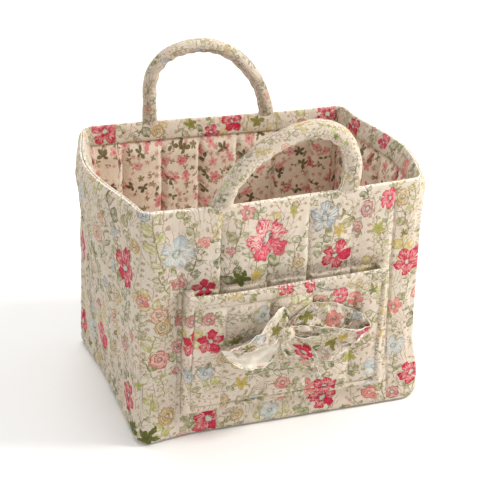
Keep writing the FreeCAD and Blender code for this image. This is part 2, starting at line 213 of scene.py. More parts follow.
def loft(name, rings, cloth, material, motifs=None):
    """Closed solid through rings of points.

    cloth gives their print coordinates, one more round each ring than it has points, or a pair of such arrays for
    the two sides of each strip between rings. The third coordinate is how far the print fades to cream, as on a raw
    edge or the cloth's reverse, and as painted highlight along the rim's rolled top.
    """
    count, around = rings.shape[:2]
    vertices = rings.reshape(-1, 3)
    row, column = np.meshgrid(np.arange(count - 1), np.arange(around), indexing="ij")
    following = (column + 1) % around
    quads = np.stack([row * around + column, (row + 1) * around + column,
                      (row + 1) * around + following, row * around + following], -1).reshape(-1, 4)
    low, high = cloth if isinstance(cloth, tuple) else (cloth[:-1], cloth[1:])
    places = np.stack([low[row, column], high[row, column], high[row, column + 1], low[row, column + 1]], 2)
    places = places.reshape(-1, 4, 3)
    triangle = vertices[quads[:, :3]]
    volume = np.einsum("ij,ij->i", triangle[:, 0], np.cross(triangle[:, 1], triangle[:, 2])).sum()
    other = vertices[quads[:, [0, 2, 3]]]
    volume += np.einsum("ij,ij->i", other[:, 0], np.cross(other[:, 1], other[:, 2])).sum()
    start_cap = list(range(around))
    end_cap = [(count - 1) * around + item for item in start_cap][::-1]
    cap_places = [low[0, :around], high[-1, :around][::-1]]
    if volume < 0:
        quads = quads[:, ::-1]
        places = places[:, ::-1]
        start_cap, end_cap = start_cap[::-1], end_cap[::-1]
        cap_places = [part[::-1] for part in cap_places]
    piece = make_object(name, vertices, quads.tolist() + [start_cap, end_cap], material)
    dress(piece.data, places, np.concatenate(cap_places), motifs)
    return piece


def dress(mesh, places, cap_places, motifs):
    """Writes the print coordinates, and each face's nearest motif in that motif's own coordinates."""
    flat = np.concatenate([places.reshape(-1, 3), cap_places])
    set_corner_vectors(mesh, "cloth", flat)
    if motifs is None:
        return
    centres = places.mean(1)[:, :2]
    for layer, items in motifs.items():
        local = np.zeros((len(flat), 3))
        local[:, :2] = 9
        ink = np.zeros((len(flat), 3))
        if items:
            spots = np.array([item["at"] for item in items])
            sizes = np.array([item["size"] for item in items])
            gap = np.linalg.norm(centres[:, None] - spots[None], axis=2) / (sizes * 1.2 + 2)
            nearest = gap.argmin(1)
            chosen = np.repeat(nearest, 4)
            away = places.reshape(-1, 3)[:, :2] - spots[chosen]
            turn = np.array([item["turn"] for item in items])[chosen]
            size = sizes[chosen]
            drawn = np.repeat(gap[np.arange(len(nearest)), nearest] < 1, 4)
            code = np.array([item["kind"] + 0.05 + 0.9 * item["seed"] for item in items])[chosen]
            x = (away[:, 0] * np.cos(turn) + away[:, 1] * np.sin(turn)) / size
            y = (away[:, 1] * np.cos(turn) - away[:, 0] * np.sin(turn)) / size
            used = slice(0, len(away))
            local[used] = np.where(drawn[:, None], np.column_stack([x, y, code]), local[used])
            ink[used] = np.array([item["ink"] for item in items])[chosen]
        set_corner_vectors(mesh, layer + "_place", local)
        set_corner_vectors(mesh, layer + "_ink", ink)


# ---------------------------------------------------------------- shader maths

class Field:
    """A number that varies over a surface, built up from shader maths nodes."""

    def __init__(self, tree, socket):
        self.tree = tree
        self.socket = socket

    def step(self, operation, *others, clamp=False):
        node = self.tree.nodes.new("ShaderNodeMath")
        node.operation = operation
        node.use_clamp = clamp
        for entry, item in zip(node.inputs, (self,) + others):
            if isinstance(item, Field):
                self.tree.links.new(item.socket, entry)
            else:
                entry.default_value = item
        return Field(self.tree, node.outputs[0])

    def __neg__(self):
        return self * -1.0

    def clamp(self):
        return self.step("ADD", 0.0, clamp=True)

    def chance(self):
        """A repeatable random number from 0 to 1."""
        return ((self * 12.9898).sine() * 43758.5453).fraction()

    def below(self, limit, soft):
        """1 where this is under the limit, 0 over it."""
        return ((self - limit) * (-1.0 / soft) + 0.5).clamp()

    def above(self, limit, soft):
        return ((self - limit) * (1.0 / soft) + 0.5).clamp()

    def line(self, half, soft):
        """1 along the places where this is nearly 0."""
        return self.absolute().below(half, soft)


for _name, _operation in (("__add__", "ADD"), ("__sub__", "SUBTRACT"), ("__mul__", "MULTIPLY"),
                          ("__truediv__", "DIVIDE"), ("__pow__", "POWER"), ("absolute", "ABSOLUTE"),
                          ("sine", "SINE"), ("floor", "FLOOR"), ("fraction", "FRACT")):
    setattr(Field, _name, partialmethod(Field.step, _operation))


def new_node(tree, kind, **settings):
    node = tree.nodes.new(kind)
    for key, setting in settings.items():
        setattr(node, key, setting)
    return node


def connect(tree, source, entry):
    if isinstance(source, Field):
        source = source.socket
    if isinstance(source, bpy.types.NodeSocket):
        tree.links.new(source, entry)
    elif isinstance(source, (tuple, list)):
        entry.default_value = (*source, 1.0) if len(entry.default_value) == 4 else source
    else:
        entry.default_value = source


def mix(tree, factor, first, second, mode="MIX"):
    node = new_node(tree, "ShaderNodeMix", data_type="RGBA", blend_type=mode)
    connect(tree, factor, node.inputs[0])
    connect(tree, first, node.inputs[6])
    connect(tree, second, node.inputs[7])
    return node.outputs[2]


def attribute(tree, name):
    return new_node(tree, "ShaderNodeAttribute", attribute_name=name).outputs["Vector"]


def stretched(tree, vector, scale):
    node = new_node(tree, "ShaderNodeVectorMath", operation="MULTIPLY")
    connect(tree, vector, node.inputs[0])
    node.inputs[1].default_value = scale
    return node.outputs[0]


def parts_of(tree, vector):
    node = new_node(tree, "ShaderNodeSeparateXYZ")
    connect(tree, vector, node.inputs[0])
    return [Field(tree, output) for output in node.outputs]


def noise(tree, vector, scale, detail):
    """Noise whose scale is given along each axis."""
    node = new_node(tree, "ShaderNodeTexNoise", noise_dimensions="3D")
    connect(tree, stretched(tree, vector, scale), node.inputs["Vector"])
    node.inputs["Scale"].default_value = 1.0
    node.inputs["Detail"].default_value = detail
    return Field(tree, node.outputs["Fac"])


def linear(red, green, blue):
    """A colour given in display values, 0 to 255, as the linear light that shaders use."""
    return tuple((channel / 255) ** 2.2 for channel in (red, green, blue))


CLOTH_DARK = linear(197, 185, 167)
CLOTH_LIGHT = linear(215, 204, 188)
PAPER = linear(226, 215, 199)
PEN = linear(92, 70, 50)


def wobbled(tree, name, amount):
    """A motif's own coordinates, shaken a little so that its outlines look drawn by hand."""
    x, y, code = parts_of(tree, attribute(tree, name + "_place"))
    cloth = attribute(tree, "cloth")
    first = noise(tree, cloth, (0.21, 0.21, 0), 3.0)
    second = noise(tree, cloth, (-0.19, 0.23, 0), 3.0)
    return x + (first - 0.5) * amount, y + (second - 0.5) * amount, code


def draw_blooms(tree, cloth_colour):
    """Five-petalled flowers, deep or pale, ringed roses and leafy rosettes."""
    x, y, code = wobbled(tree, "bloom", 0.5)
    ink = attribute(tree, "bloom_ink")
    kind = code.floor()
    seed = code.fraction()
    is_rose = (kind - ROSE).line(0.5, 0.01)
    is_leafy = (kind - ROSETTE).line(0.5, 0.01)
    is_pale = (kind - PALE).line(0.5, 0.01)
    flower = -is_leafy + 1.0
    radius = (x * x + y * y) ** 0.5
    turn = y.step("ARCTAN2", x) * (5 / TAU) + seed * 7.0
    index = turn.floor()
    across = turn - index - 0.5
    petal = (index.step("FLOORED_MODULO", 5.0) + seed * 23.0).chance()
    other_chance = (petal * 3.7 + 0.31).chance()
    spread = (across + (petal - 0.5) * 0.16).absolute() * 2.05
    round_edge = (spread ** 3.2 * -0.76 + 1.0).clamp() ** 0.5
    fuller = round_edge + (-round_edge + 0.96) * is_rose * 0.7
    outline = fuller * (petal * 0.24 + 0.76) + (turn * 6.0 + seed * 40.0).sine() * 0.02
    half_angle = across * (TAU / 5)
    leaf_run = radius * (half_angle + math.pi / 2).sine() / (petal * 0.4 + 0.6)
    leaf_off = (radius * half_angle.sine()).absolute()
    leaf_edge = ((leaf_run.clamp() * math.pi).sine() ** 0.8) * 0.2 - leaf_off
    in_leaf = leaf_edge.above(0.0, 0.02) * leaf_run.below(0.98, 0.02)
    in_flower = (radius - outline).below(0.0, 0.035)
    inside = in_flower + (in_leaf - in_flower) * is_leafy
    depth = radius / (outline + 0.001)
    wash = noise(tree, attribute(tree, "cloth"), (0.3, 0.3, 0), 3.0)
    throat = depth.below(0.36, 0.4)
    edge = depth.above(0.84, 0.4)
    veins = (across * 30.0 + wash * 3.0).sine().below(-0.2, 0.5) * depth.below(0.95, 0.3) * 0.4
    deep_petal = other_chance.above(0.72, 0.1)
    tone = throat * 0.7 + edge * 0.75 + veins + deep_petal * 0.7 + (wash - 0.5) * 1.3
    tone = (tone + is_pale * (veins - 0.5) + is_rose * -0.2 + is_leafy * 0.5 + 0.42).clamp()
    pale = mix(tree, 0.22, PAPER, ink)
    dark = mix(tree, 1.0, ink, (0.60, 0.42, 0.48), "MULTIPLY")
    colour = mix(tree, tone, pale, ink)
    rings = ((radius * 3.6 + turn * 0.2 + wash * 0.5).fraction() - 0.5).line(0.10, 0.1) * is_rose
    overlap = spread.above(0.93, 0.05) * depth.below(0.97, 0.05) * is_rose
    rim = (radius - outline + 0.03).line(0.028, 0.035)
    rim = rim + ((leaf_edge - 0.02).line(0.016, 0.02) - rim) * is_leafy
    pen = (rim * 0.75 + rings * 0.8 + overlap * 0.6).clamp()
    colour = mix(tree, pen, colour, mix(tree, is_rose * 0.35 + 0.1, dark, PEN))
    rib = leaf_off.line(0.012, 0.02) * is_leafy
    colour = mix(tree, rib * 0.6, colour, PEN)
    eye = radius.below(0.17, 0.06) * flower
    stamens = (radius - 0.19).line(0.06, 0.04) * (turn * 2.6 + wash).fraction().below(0.5, 0.2) * flower
    colour = mix(tree, eye * 0.9, colour, linear(190, 194, 176))
    colour = mix(tree, stamens * 0.85, colour, linear(84, 66, 62))
    return mix(tree, inside, cloth_colour, colour)


def draw_sprigs(tree, cloth_colour):
    """A bending stem with outlined leaves on alternate sides."""
    x, y, code = wobbled(tree, "sprig", 0.22)
    ink = attribute(tree, "sprig_ink")
    seed = code.fraction()
    bend = (y * 2.0 + seed * 9.0).sine() * 0.1
    beside = x - bend
    shown = y.absolute().below(0.92, 0.02)
    stem = beside.line(0.018, 0.02) * shown
    side = beside.above(0.0, 0.001)
    place = y * 1.9 + side * 0.5 + seed
    index = place.floor()
    rise = (place - index - 0.12) * 0.53
    leaf_chance = (index + side * 17.0 + seed * 31.0).chance()
    out = beside.absolute()
    length = leaf_chance * 0.24 + 0.34 - y.absolute() * 0.1
    lean = 0.78
    run = out * lean + rise * math.sqrt(1 - lean * lean)
    off = (rise * lean - out * math.sqrt(1 - lean * lean)).absolute()
    part = (run / length).clamp()
    half = ((part * math.pi).sine() ** 0.7) * length * (leaf_chance * 0.14 + 0.26)
    leaf = (off - half).below(0.0, 0.02) * run.above(0.02, 0.01) * (run - length).below(0.0, 0.01) * shown
    outline = (off - half + 0.014).line(0.018, 0.018) * leaf
    rib = off.line(0.010, 0.012) * leaf
    wash = noise(tree, attribute(tree, "cloth"), (0.25, 0.25, 0), 2.0)
    washed = mix(tree, ((wash - 0.5) * 2.2 + leaf_chance * 0.5 + 0.3).clamp(), PAPER, ink)
    dark = mix(tree, 0.55, ink, PEN)
    colour = mix(tree, leaf * 0.92, cloth_colour, washed)
    return mix(tree, (outline * 0.75 + rib * 0.5 + stem * 0.8).clamp(), colour, dark)


def draw_twigs(tree, cloth_colour):
    """Fine pen lines: an upright twig with buds, and an umbel of stalks with dotted heads."""
    x, y, code = wobbled(tree, "twig", 0.2)
    ink = attribute(tree, "twig_ink")
    kind = code.floor()
    seed = code.fraction()
    is_umbel = (kind - UMBEL).line(0.5, 0.01)
    shown = y.absolute().below(0.96, 0.02)
    bend = (y * 2.6 + seed * 9.0).sine() * 0.07 + (y * 7.0 + seed * 5.0).sine() * 0.02
    beside = x - bend
    out = beside.absolute()
    side = beside.above(0.0, 0.001)
    place = y * 3.0 + side * 0.5 + seed
    rise = place.fraction() * 0.333
    bud_chance = (place.floor() + side * 7.0 + seed * 13.0).chance()
    length = bud_chance * 0.16 + 0.15
    branch = (rise - out * 0.75).line(0.014, 0.014) * out.below(length, 0.02)
    tip = ((out - length) ** 2.0 + (rise - length * 0.75) ** 2.0) ** 0.5
    bud = tip.below(0.04, 0.02)
    ring = (tip - 0.055).line(0.014, 0.014)
    twig = ((beside.line(0.015, 0.016) + branch + ring) * shown).clamp()
    fan_y = y + 0.9
    reach = (x * x + fan_y * fan_y) ** 0.5
    angle = x.step("ARCTAN2", fan_y) * 4.2 + seed * 4.0
    spoke_chance = (angle.floor() + seed * 19.0).chance()
    end = spoke_chance * 0.45 + 1.15
    spoke_off = (angle.fraction() - 0.5) * reach * 0.238
    spokes = spoke_off.line(0.012, 0.014) * (reach - end).below(0.0, 0.02)
    head = (spoke_off * spoke_off + (reach - end) ** 2.0) ** 0.5
    dots = ((x * 41.0).sine() * (y * 37.0 + x * 13.0).sine()).above(0.25, 0.3) * head.below(0.17, 0.03)
    fan = x.absolute().below(0.75, 0.02) * (spokes + dots).clamp() * reach.above(0.1, 0.02)
    pen = (twig + (fan - twig) * is_umbel).clamp()
    bud_colour = mix(tree, bud_chance.above(0.2, 0.1), linear(190, 124, 110), linear(150, 140, 92))
    colour = mix(tree, bud * shown * (-is_umbel + 1.0) * 0.75, cloth_colour, bud_colour)
    return mix(tree, pen * 0.66, colour, ink)


def draw_scribble(tree, cloth_colour, vector, scale, share, ink):
    """Wandering pen lines in patches, as of tiny foliage."""
    contour = noise(tree, vector, (scale, scale * 0.7, 0), 2.0)
    patch = noise(tree, vector, (scale * 0.391, scale * 0.34, 0), 1.0)
    loops = ((contour * 9.0).fraction() - 0.5).line(0.09, 0.08)
    return mix(tree, loops * patch.above(1 - share, 0.06) * 0.42, cloth_colour, ink)


def bumpy(tree, height, strength, distance):
    bump = new_node(tree, "ShaderNodeBump")
    bump.inputs["Strength"].default_value = strength
    bump.inputs["Distance"].default_value = distance
    connect(tree, height, bump.inputs["Height"])
    return bump.outputs["Normal"]


def weave(tree, vector):
    """The bump of a plain weave with slubs in its upright threads, and those threads."""
    threads = noise(tree, vector, (2.2, 0.22, 0), 3.0)
    picks = noise(tree, vector, (0.3, 2.4, 0), 2.0)
    return bumpy(tree, threads * 0.6 + picks * 0.4, 0.45, 0.0006), threads, picks


def start_material(name, roughness, sheen=0.0):
    material = bpy.data.materials.new(name)
    material.use_nodes = True
    tree = material.node_tree
    shader = tree.nodes["Principled BSDF"]
    shader.inputs["Roughness"].default_value = roughness
    shader.inputs["Specular IOR Level"].default_value = 0.2
    shader.inputs["Sheen Weight"].default_value = sheen
    shader.inputs["Sheen Roughness"].default_value = 0.5
    return material, tree, shader


def printed_cotton():
    """Cream slubbed cotton with the large flower print."""
    material, tree, shader = start_material("printed_cotton", 0.9, sheen=0.08)
    cloth = attribute(tree, "cloth")
    normal, threads, picks = weave(tree, cloth)
    ground = mix(tree, (threads * 0.7 + picks * 0.3).above(0.5, 0.35), CLOTH_DARK, CLOTH_LIGHT)
    stain = noise(tree, cloth, (0.02, 0.02, 0), 2.0)
    ground = mix(tree, stain.above(0.55, 0.4) * 0.4, ground, linear(222, 196, 178))
    colour = draw_scribble(tree, ground, cloth, 0.16, 0.46, linear(150, 128, 92))
    colour = draw_scribble(tree, colour, stretched(tree, cloth, (-1, 1, 0)), 0.13, 0.4, linear(138, 140, 92))
    colour = draw_twigs(tree, colour)
    colour = draw_sprigs(tree, colour)
    colour = draw_blooms(tree, colour)
    colour = mix(tree, threads.above(0.64, 0.2) * 0.16, colour, ground)
    # Cream where the fade coordinate says so: the print's loss on raw edges and the cloth's reverse, and a painted
    # highlight along the rim's rolled top.
    fade = parts_of(tree, cloth)[2]
    frayed = noise(tree, cloth, (0.45, 0.45, 0), 2.0)
    edge = (fade + (frayed - 0.5) * 1.5).above(0.66, 0.25)
    print_loss_and_rim_highlight = edge.step("MAXIMUM", (-fade).clamp())
    colour = mix(tree, print_loss_and_rim_highlight, colour, linear(237, 229, 214))
    connect(tree, colour, shader.inputs["Base Color"])
    connect(tree, normal, shader.inputs["Normal"])
    return material


def cells(tree, vector, scale, jitter=0.75):
    """Scattered cells: offset from each cell's middle in millimetres, and three random numbers."""
    node = new_node(tree, "ShaderNodeTexVoronoi", voronoi_dimensions="2D", feature="F1")
    connect(tree, vector, node.inputs["Vector"])
    node.inputs["Scale"].default_value = scale
    node.inputs["Randomness"].default_value = jitter
    offset = new_node(tree, "ShaderNodeVectorMath", operation="SUBTRACT")
    connect(tree, vector, offset.inputs[0])
    tree.links.new(node.outputs["Position"], offset.inputs[1])
    x, y, _ = parts_of(tree, offset.outputs[0])
    return x, y, parts_of(tree, node.outputs["Color"])


def draw_small_flowers(tree, vector, colour, scale, inks, size, share):
    """A scatter of little flowers, one to a cell."""
    x, y, (first, second, third) = cells(tree, vector, scale)
    radius = (x * x + y * y) ** 0.5
    turn = y.step("ARCTAN2", x) * (5 / TAU) + third * 5.0
    petal = (turn.floor().step("FLOORED_MODULO", 5.0) + third * 9.0).chance()
    across = (turn.fraction() - 0.5).absolute() * 2.0
    outline = (across ** 2.2 * -0.6 + 1.0) * (petal * 0.35 + 0.7) * (second * 0.3 + 0.85) * size
    flower = (radius - outline).below(0.0, 0.9) * first.below(share, 0.01)
    tone = (petal * 0.7 + (radius / outline).above(0.6, 0.8) * 0.3).clamp()
    ink = mix(tree, second, inks[0], inks[1])
    petals = mix(tree, tone, mix(tree, 0.5, ink, PAPER), ink)
    return mix(tree, flower * 0.9, colour, mix(tree, radius.below(size * 0.22, 0.3), petals, inks[1]))


def draw_small_leaves(tree, vector, colour, scale, inks, size, share):
    """Fans of dark leaflets, one to a cell."""
    x, y, (first, second, third) = cells(tree, vector, scale, 0.9)
    radius = (x * x + y * y) ** 0.5
    turn = y.step("ARCTAN2", x) * (5 / TAU) + third * 6.0
    leaflet = (turn.floor().step("FLOORED_MODULO", 5.0) + third * 11.0).chance()
    across = (turn.fraction() - 0.5).absolute() * 2.0
    outline = (across * -1.0 + 1.0).clamp() ** 0.4 * leaflet.above(0.36, 0.02) * (leaflet * 0.5 + 0.5) * size
    leaf = (radius - outline).below(0.0, 0.5) * first.below(share, 0.01)
    return mix(tree, leaf * 0.92, colour, mix(tree, second, inks[0], inks[1]))


def lining_cotton():
    """Warm cotton with a print of little flowers."""
    material, tree, shader = start_material("lining_cotton", 0.9, sheen=0.08)
    cloth = stretched(tree, attribute(tree, "cloth"), (1, 1, 0))
    normal, threads, picks = weave(tree, cloth)
    ground = mix(tree, (threads * 0.7 + picks * 0.3).above(0.5, 0.35), linear(222, 207, 186), linear(237, 225, 206))
    colour = draw_scribble(tree, ground, cloth, 0.24, 0.55, linear(150, 112, 84))
    mirrored = stretched(tree, cloth, (-1, 1, 0))
    for draw, place, scale, first, second, size, share in (
            (draw_small_flowers, cloth, 0.13, (206, 150, 130), (180, 112, 96), 2.8, 0.7),
            (draw_small_leaves, cloth, 0.095, (112, 100, 56), (140, 128, 80), 4.2, 0.65),
            (draw_small_flowers, cloth, 0.053, (224, 134, 134), (204, 84, 98), 5.6, 0.8),
            (draw_small_flowers, mirrored, 0.040, (210, 96, 106), (186, 50, 72), 5.2, 0.6),
            (draw_small_leaves, mirrored, 0.046, (70, 68, 26), (98, 92, 44), 6.8, 0.9)):
        colour = draw(tree, place, colour, scale, (linear(*first), linear(*second)), size, share)
    colour = mix(tree, threads.above(0.62, 0.25) * 0.25, colour, ground)
    connect(tree, colour, shader.inputs["Base Color"])
    connect(tree, normal, shader.inputs["Normal"])
    return material


def plain_cotton(name, colour):
    """Unprinted sheet or filling, with a fine grain."""
    material, tree, shader = start_material(name, 0.85, sheen=0.1)
    place = new_node(tree, "ShaderNodeTexCoord").outputs["Object"]
    grain = noise(tree, place, (1500, 1500, 1500), 2.0)
    darker = tuple(channel * 0.86 for channel in colour)
    connect(tree, mix(tree, grain.above(0.5, 0.6), darker, colour), shader.inputs["Base Color"])
    connect(tree, bumpy(tree, grain, 0.3, 0.0003), shader.inputs["Normal"])
    return material


POPPY, ROSE, ROSETTE, PALE = 0, 1, 2, 3
TWIG, UMBEL = 0, 1
PRINTED = printed_cotton()
LINED = lining_cotton()
BOARD = plain_cotton("stiffener_sheet", linear(222, 220, 214))
STUFFING = plain_cotton("wadding_fill", linear(236, 234, 228))


# ---------------------------------------------------------------- the print's motifs

INKS = {
    "red": linear(184, 30, 64), "pink": linear(202, 62, 88), "coral": linear(206, 122, 112),
    "blue": linear(168, 178, 178), "slate": linear(140, 150, 154), "peach": linear(208, 160, 130),
    "ochre": linear(190, 164, 112), "rosebud": linear(186, 120, 114),
    "olive": linear(128, 124, 60), "lime": linear(164, 162, 86), "sage": linear(120, 126, 74),
    "forest": linear(88, 94, 40), "gold": linear(184, 162, 84),
    "pen": linear(120, 96, 70), "grey": linear(146, 130, 102), "umber": linear(130, 98, 64),
}
# The large flowers by wall: kind, distance along, height, radius, turn and ink. Past the rim, a height runs on
# over the edge and down the facing inside.
HERO_BLOOMS = {
    "front": (
        (PALE, -20, 193, 23, 0.3, "pink"), (POPPY, 47, 168, 16, 0.9, "red"), (PALE, -102, 189, 17, 0.2, "blue"),
        (PALE, 35, 206, 14, 0.5, "slate"), (POPPY, -77, 153, 11, 0.4, "red"), (ROSETTE, -44, 159, 13, 0.2, "forest"),
        (ROSETTE, -30, 160, 9, 0.6, "gold"), (ROSETTE, 49, 192, 9, 1.2, "gold"), (POPPY, 97, 213, 10, 0.2, "pink"),
        (ROSE, -117, 131, 10, 0.3, "peach"), (ROSE, -114, 119, 9, 1.1, "ochre"), (ROSE, -99, 97, 9, 0.7, "rosebud"),
        (ROSE, -117, 87, 11, 0.5, "coral"), (ROSE, -96, 122, 8, 0.1, "rosebud"), (POPPY, -70, 16, 18, 0.8, "red"),
        (POPPY, 42, 19, 15, 0.1, "red"), (POPPY, 121, 148, 16, 0.6, "red"), (POPPY, 127, 29, 14, 0.3, "red"),
        (PALE, 112, 62, 12, 0.9, "blue"), (ROSE, -109, 26, 10, 0.4, "ochre"), (ROSETTE, -126, 8, 14, 0.5, "forest"),
        (PALE, -10, 14, 11, 0.5, "blue"), (ROSE, 88, 16, 9, 0.5, "coral"), (POPPY, 110, 104, 10, 0.2, "coral"),
        (ROSETTE, 88, 188, 9, 0.3, "lime"), (ROSE, 76, 208, 8, 0.9, "rosebud"),
    ),
    "left": (
        (POPPY, -66, 120, 18, 0.2, "red"), (POPPY, -84, 200, 15, 0.5, "coral"), (POPPY, 68, 163, 21, 0.9, "red"),
        (POPPY, -12, 51, 17, 1.3, "pink"), (POPPY, 70, 33, 16, 0.8, "red"),
        (ROSE, 20, 176, 11, 0.6, "peach"), (ROSE, 52, 128, 9, 0.2, "ochre"), (ROSETTE, 4, 150, 10, 0.9, "sage"),
        (PALE, -44, 40, 14, 0.1, "blue"), (ROSETTE, 86, 12, 12, 0.5, "forest"), (POPPY, -80, 30, 15, 0.5, "red"),
        (PALE, -24, 196, 13, 0.2, "blue"), (ROSE, 62, 84, 9, 0.1, "rosebud"), (ROSE, 36, 98, 9, 0.7, "peach"),
    ),
    "right": (
        (POPPY, -70, 150, 17, 0.5, "red"), (POPPY, -6, 188, 19, 0.2, "pink"), (POPPY, 58, 150, 17, 0.1, "red"),
        (POPPY, -40, 70, 16, 0.6, "red"), (PALE, 30, 60, 14, 0.3, "blue"), (ROSE, -12, 118, 11, 0.2, "peach"),
        (ROSE, 4, 104, 9, 0.9, "ochre"), (ROSETTE, 44, 108, 13, 0.5, "forest"), (POPPY, 70, 24, 16, 0.4, "pink"),
        (POPPY, -78, 24, 15, 0.7, "red"), (PALE, 80, 204, 13, 0.2, "blue"), (ROSETTE, -48, 200, 10, 0.1, "lime"),
        (POPPY, -6, 20, 13, 0.9, "coral"), (ROSE, 84, 90, 9, 0.8, "coral"),
        (POPPY, 60, 238, 11, 0.4, "red"), (POPPY, 10, 236, 9, 0.8, "pink"), (POPPY, -48, 240, 10, 0.3, "coral"),
    ),
    "back": (
        (POPPY, -96, 180, 19, 0.3, "red"), (PALE, -36, 196, 16, 0.6, "blue"), (POPPY, 26, 176, 20, 0.1, "pink"),
        (POPPY, 92, 190, 15, 0.9, "red"), (POPPY, -64, 116, 18, 0.5, "red"), (ROSE, -22, 128, 11, 0.2, "peach"),
        (ROSE, -10, 114, 9, 0.8, "ochre"), (ROSETTE, 60, 140, 13, 0.5, "forest"), (POPPY, 104, 112, 17, 0.2, "pink"),
        (POPPY, 32, 84, 17, 0.4, "red"), (PALE, -106, 60, 14, 0.6, "blue"), (POPPY, -46, 44, 16, 0.1, "pink"),
        (POPPY, 4, 26, 14, 0.7, "red"), (POPPY, 72, 34, 18, 0.2, "red"), (PALE, 118, 40, 12, 0.3, "blue"),
        (ROSETTE, -88, 18, 12, 0.8, "sage"), (ROSE, 66, 82, 9, 0.5, "coral"), (POPPY, -118, 124, 12, 0.1, "coral"),
        (POPPY, 110, 234, 15, 0.2, "red"), (POPPY, -113, 235, 14, 0.4, "red"), (POPPY, -15, 234, 12, 0.1, "red"),
        (POPPY, 7, 243, 9, 0.7, "red"), (ROSE, 60, 238, 8, 0.2, "ochre"), (ROSETTE, -40, 236, 9, 0.2, "olive"),
    ),
}
HERO_SPRIGS = {
    "front": (
        (-118, 198, 30, 0.1, "lime"), (-112, 160, 20, 0.4, "olive"),
        (11, 176, 26, -0.3, "sage"), (-2, 150, 18, 0.5, "sage"), (-56, 219, 10, 1.4, "sage"),
        (-122, 98, 20, -0.3, "lime"), (-115, 60, 18, 0.3, "lime"), (90, 178, 26, 0.1, "lime"),
        (100, 130, 26, 0.0, "lime"),
    ),
}
# The pocket's cloth is cut across the print, so its stems lie level.
POCKET_BLOOMS = (
    (POPPY, -73, 104, 15, 1.2, "red"), (POPPY, 47, 131, 9, 0.2, "pink"), (POPPY, 51, 101, 10, 0.7, "pink"),
    (POPPY, 62, 125, 9, 0.4, "coral"), (PALE, -26, 124, 11, 0.2, "blue"), (PALE, 87, 47, 12, 0.9, "blue"),
    (ROSETTE, -42, 54, 10, 0.1, "gold"), (POPPY, 40, 34, 14, 0.3, "red"), (ROSE, -76, 128, 8, 0.4, "rosebud"),
    (ROSE, -2, 47, 8, 0.1, "coral"), (ROSETTE, -51, 100, 8, 0.5, "olive"), (ROSE, 28, 130, 8, 0.2, "peach"),
    (POPPY, -6, 150, 9, 0.2, "red"), (POPPY, 20, 150, 11, 0.8, "red"), (PALE, -76, 70, 9, 0.2, "slate"),
    (ROSETTE, 62, 62, 9, 0.4, "lime"), (POPPY, 22, 38, 9, 0.5, "coral"),
)
BOW_BLOOMS = {
    "middle": ((POPPY, 21, 4, 10, 0.3, "red"), (ROSE, 37, 0, 7, 0.4, "peach")),
    "left": ((ROSETTE, 116, -4, 9, 0.2, "olive"), (PALE, 100, 5, 8, 0.3, "slate"), (ROSETTE, 132, 4, 8, 0.6, "sage"),
             (ROSETTE, 86, -2, 8, 0.2, "olive")),
    "right": ((POPPY, 46, 3, 9, 0.5, "coral"), (ROSETTE, 20, 4, 9, 0.2, "olive"), (ROSETTE, 104, -3, 9, 0.8, "gold"),
              (POPPY, 84, 2, 8, 0.2, "pink")),
    "tail": ((ROSETTE, 30, 2, 12, 0.1, "sage"), (ROSETTE, 50, 2, 11, 0.9, "olive"), (ROSE, 66, 2, 7, 0.3, "rosebud")),
}


def motif(kind, x, y, size, turn, ink, seed):
    return {"kind": kind, "at": (x, y), "size": size, "turn": turn, "ink": INKS[ink], "seed": seed}


def scatter(chooser, area, spacing, taken, margin):
    """Points at least a spacing apart, clear of what is taken, within (left, right, bottom, top)."""
    spots = np.empty((0, 2))
    others = np.array([(*item["at"], item["size"]) for item in taken]).reshape(-1, 3)
    tries = int(6 * (area[1] - area[0]) * (area[3] - area[2]) / spacing ** 2) + 10
    for spot in chooser.uniform((area[0], area[2]), (area[1], area[3]), (tries, 2)):
        if len(spots) and np.hypot(*(spots - spot).T).min() < spacing:
            continue
        if len(others) and (np.hypot(*(others[:, :2] - spot).T) - others[:, 2]).min() < margin:
            continue
        spots = np.vstack([spots, spot])
    return spots


BLOOM_SPACING, SPRIG_SPACING, TWIG_SPACING = 31, 20, 17.5
BLOOM_MARGIN, SPRIG_MARGIN = 8, 1


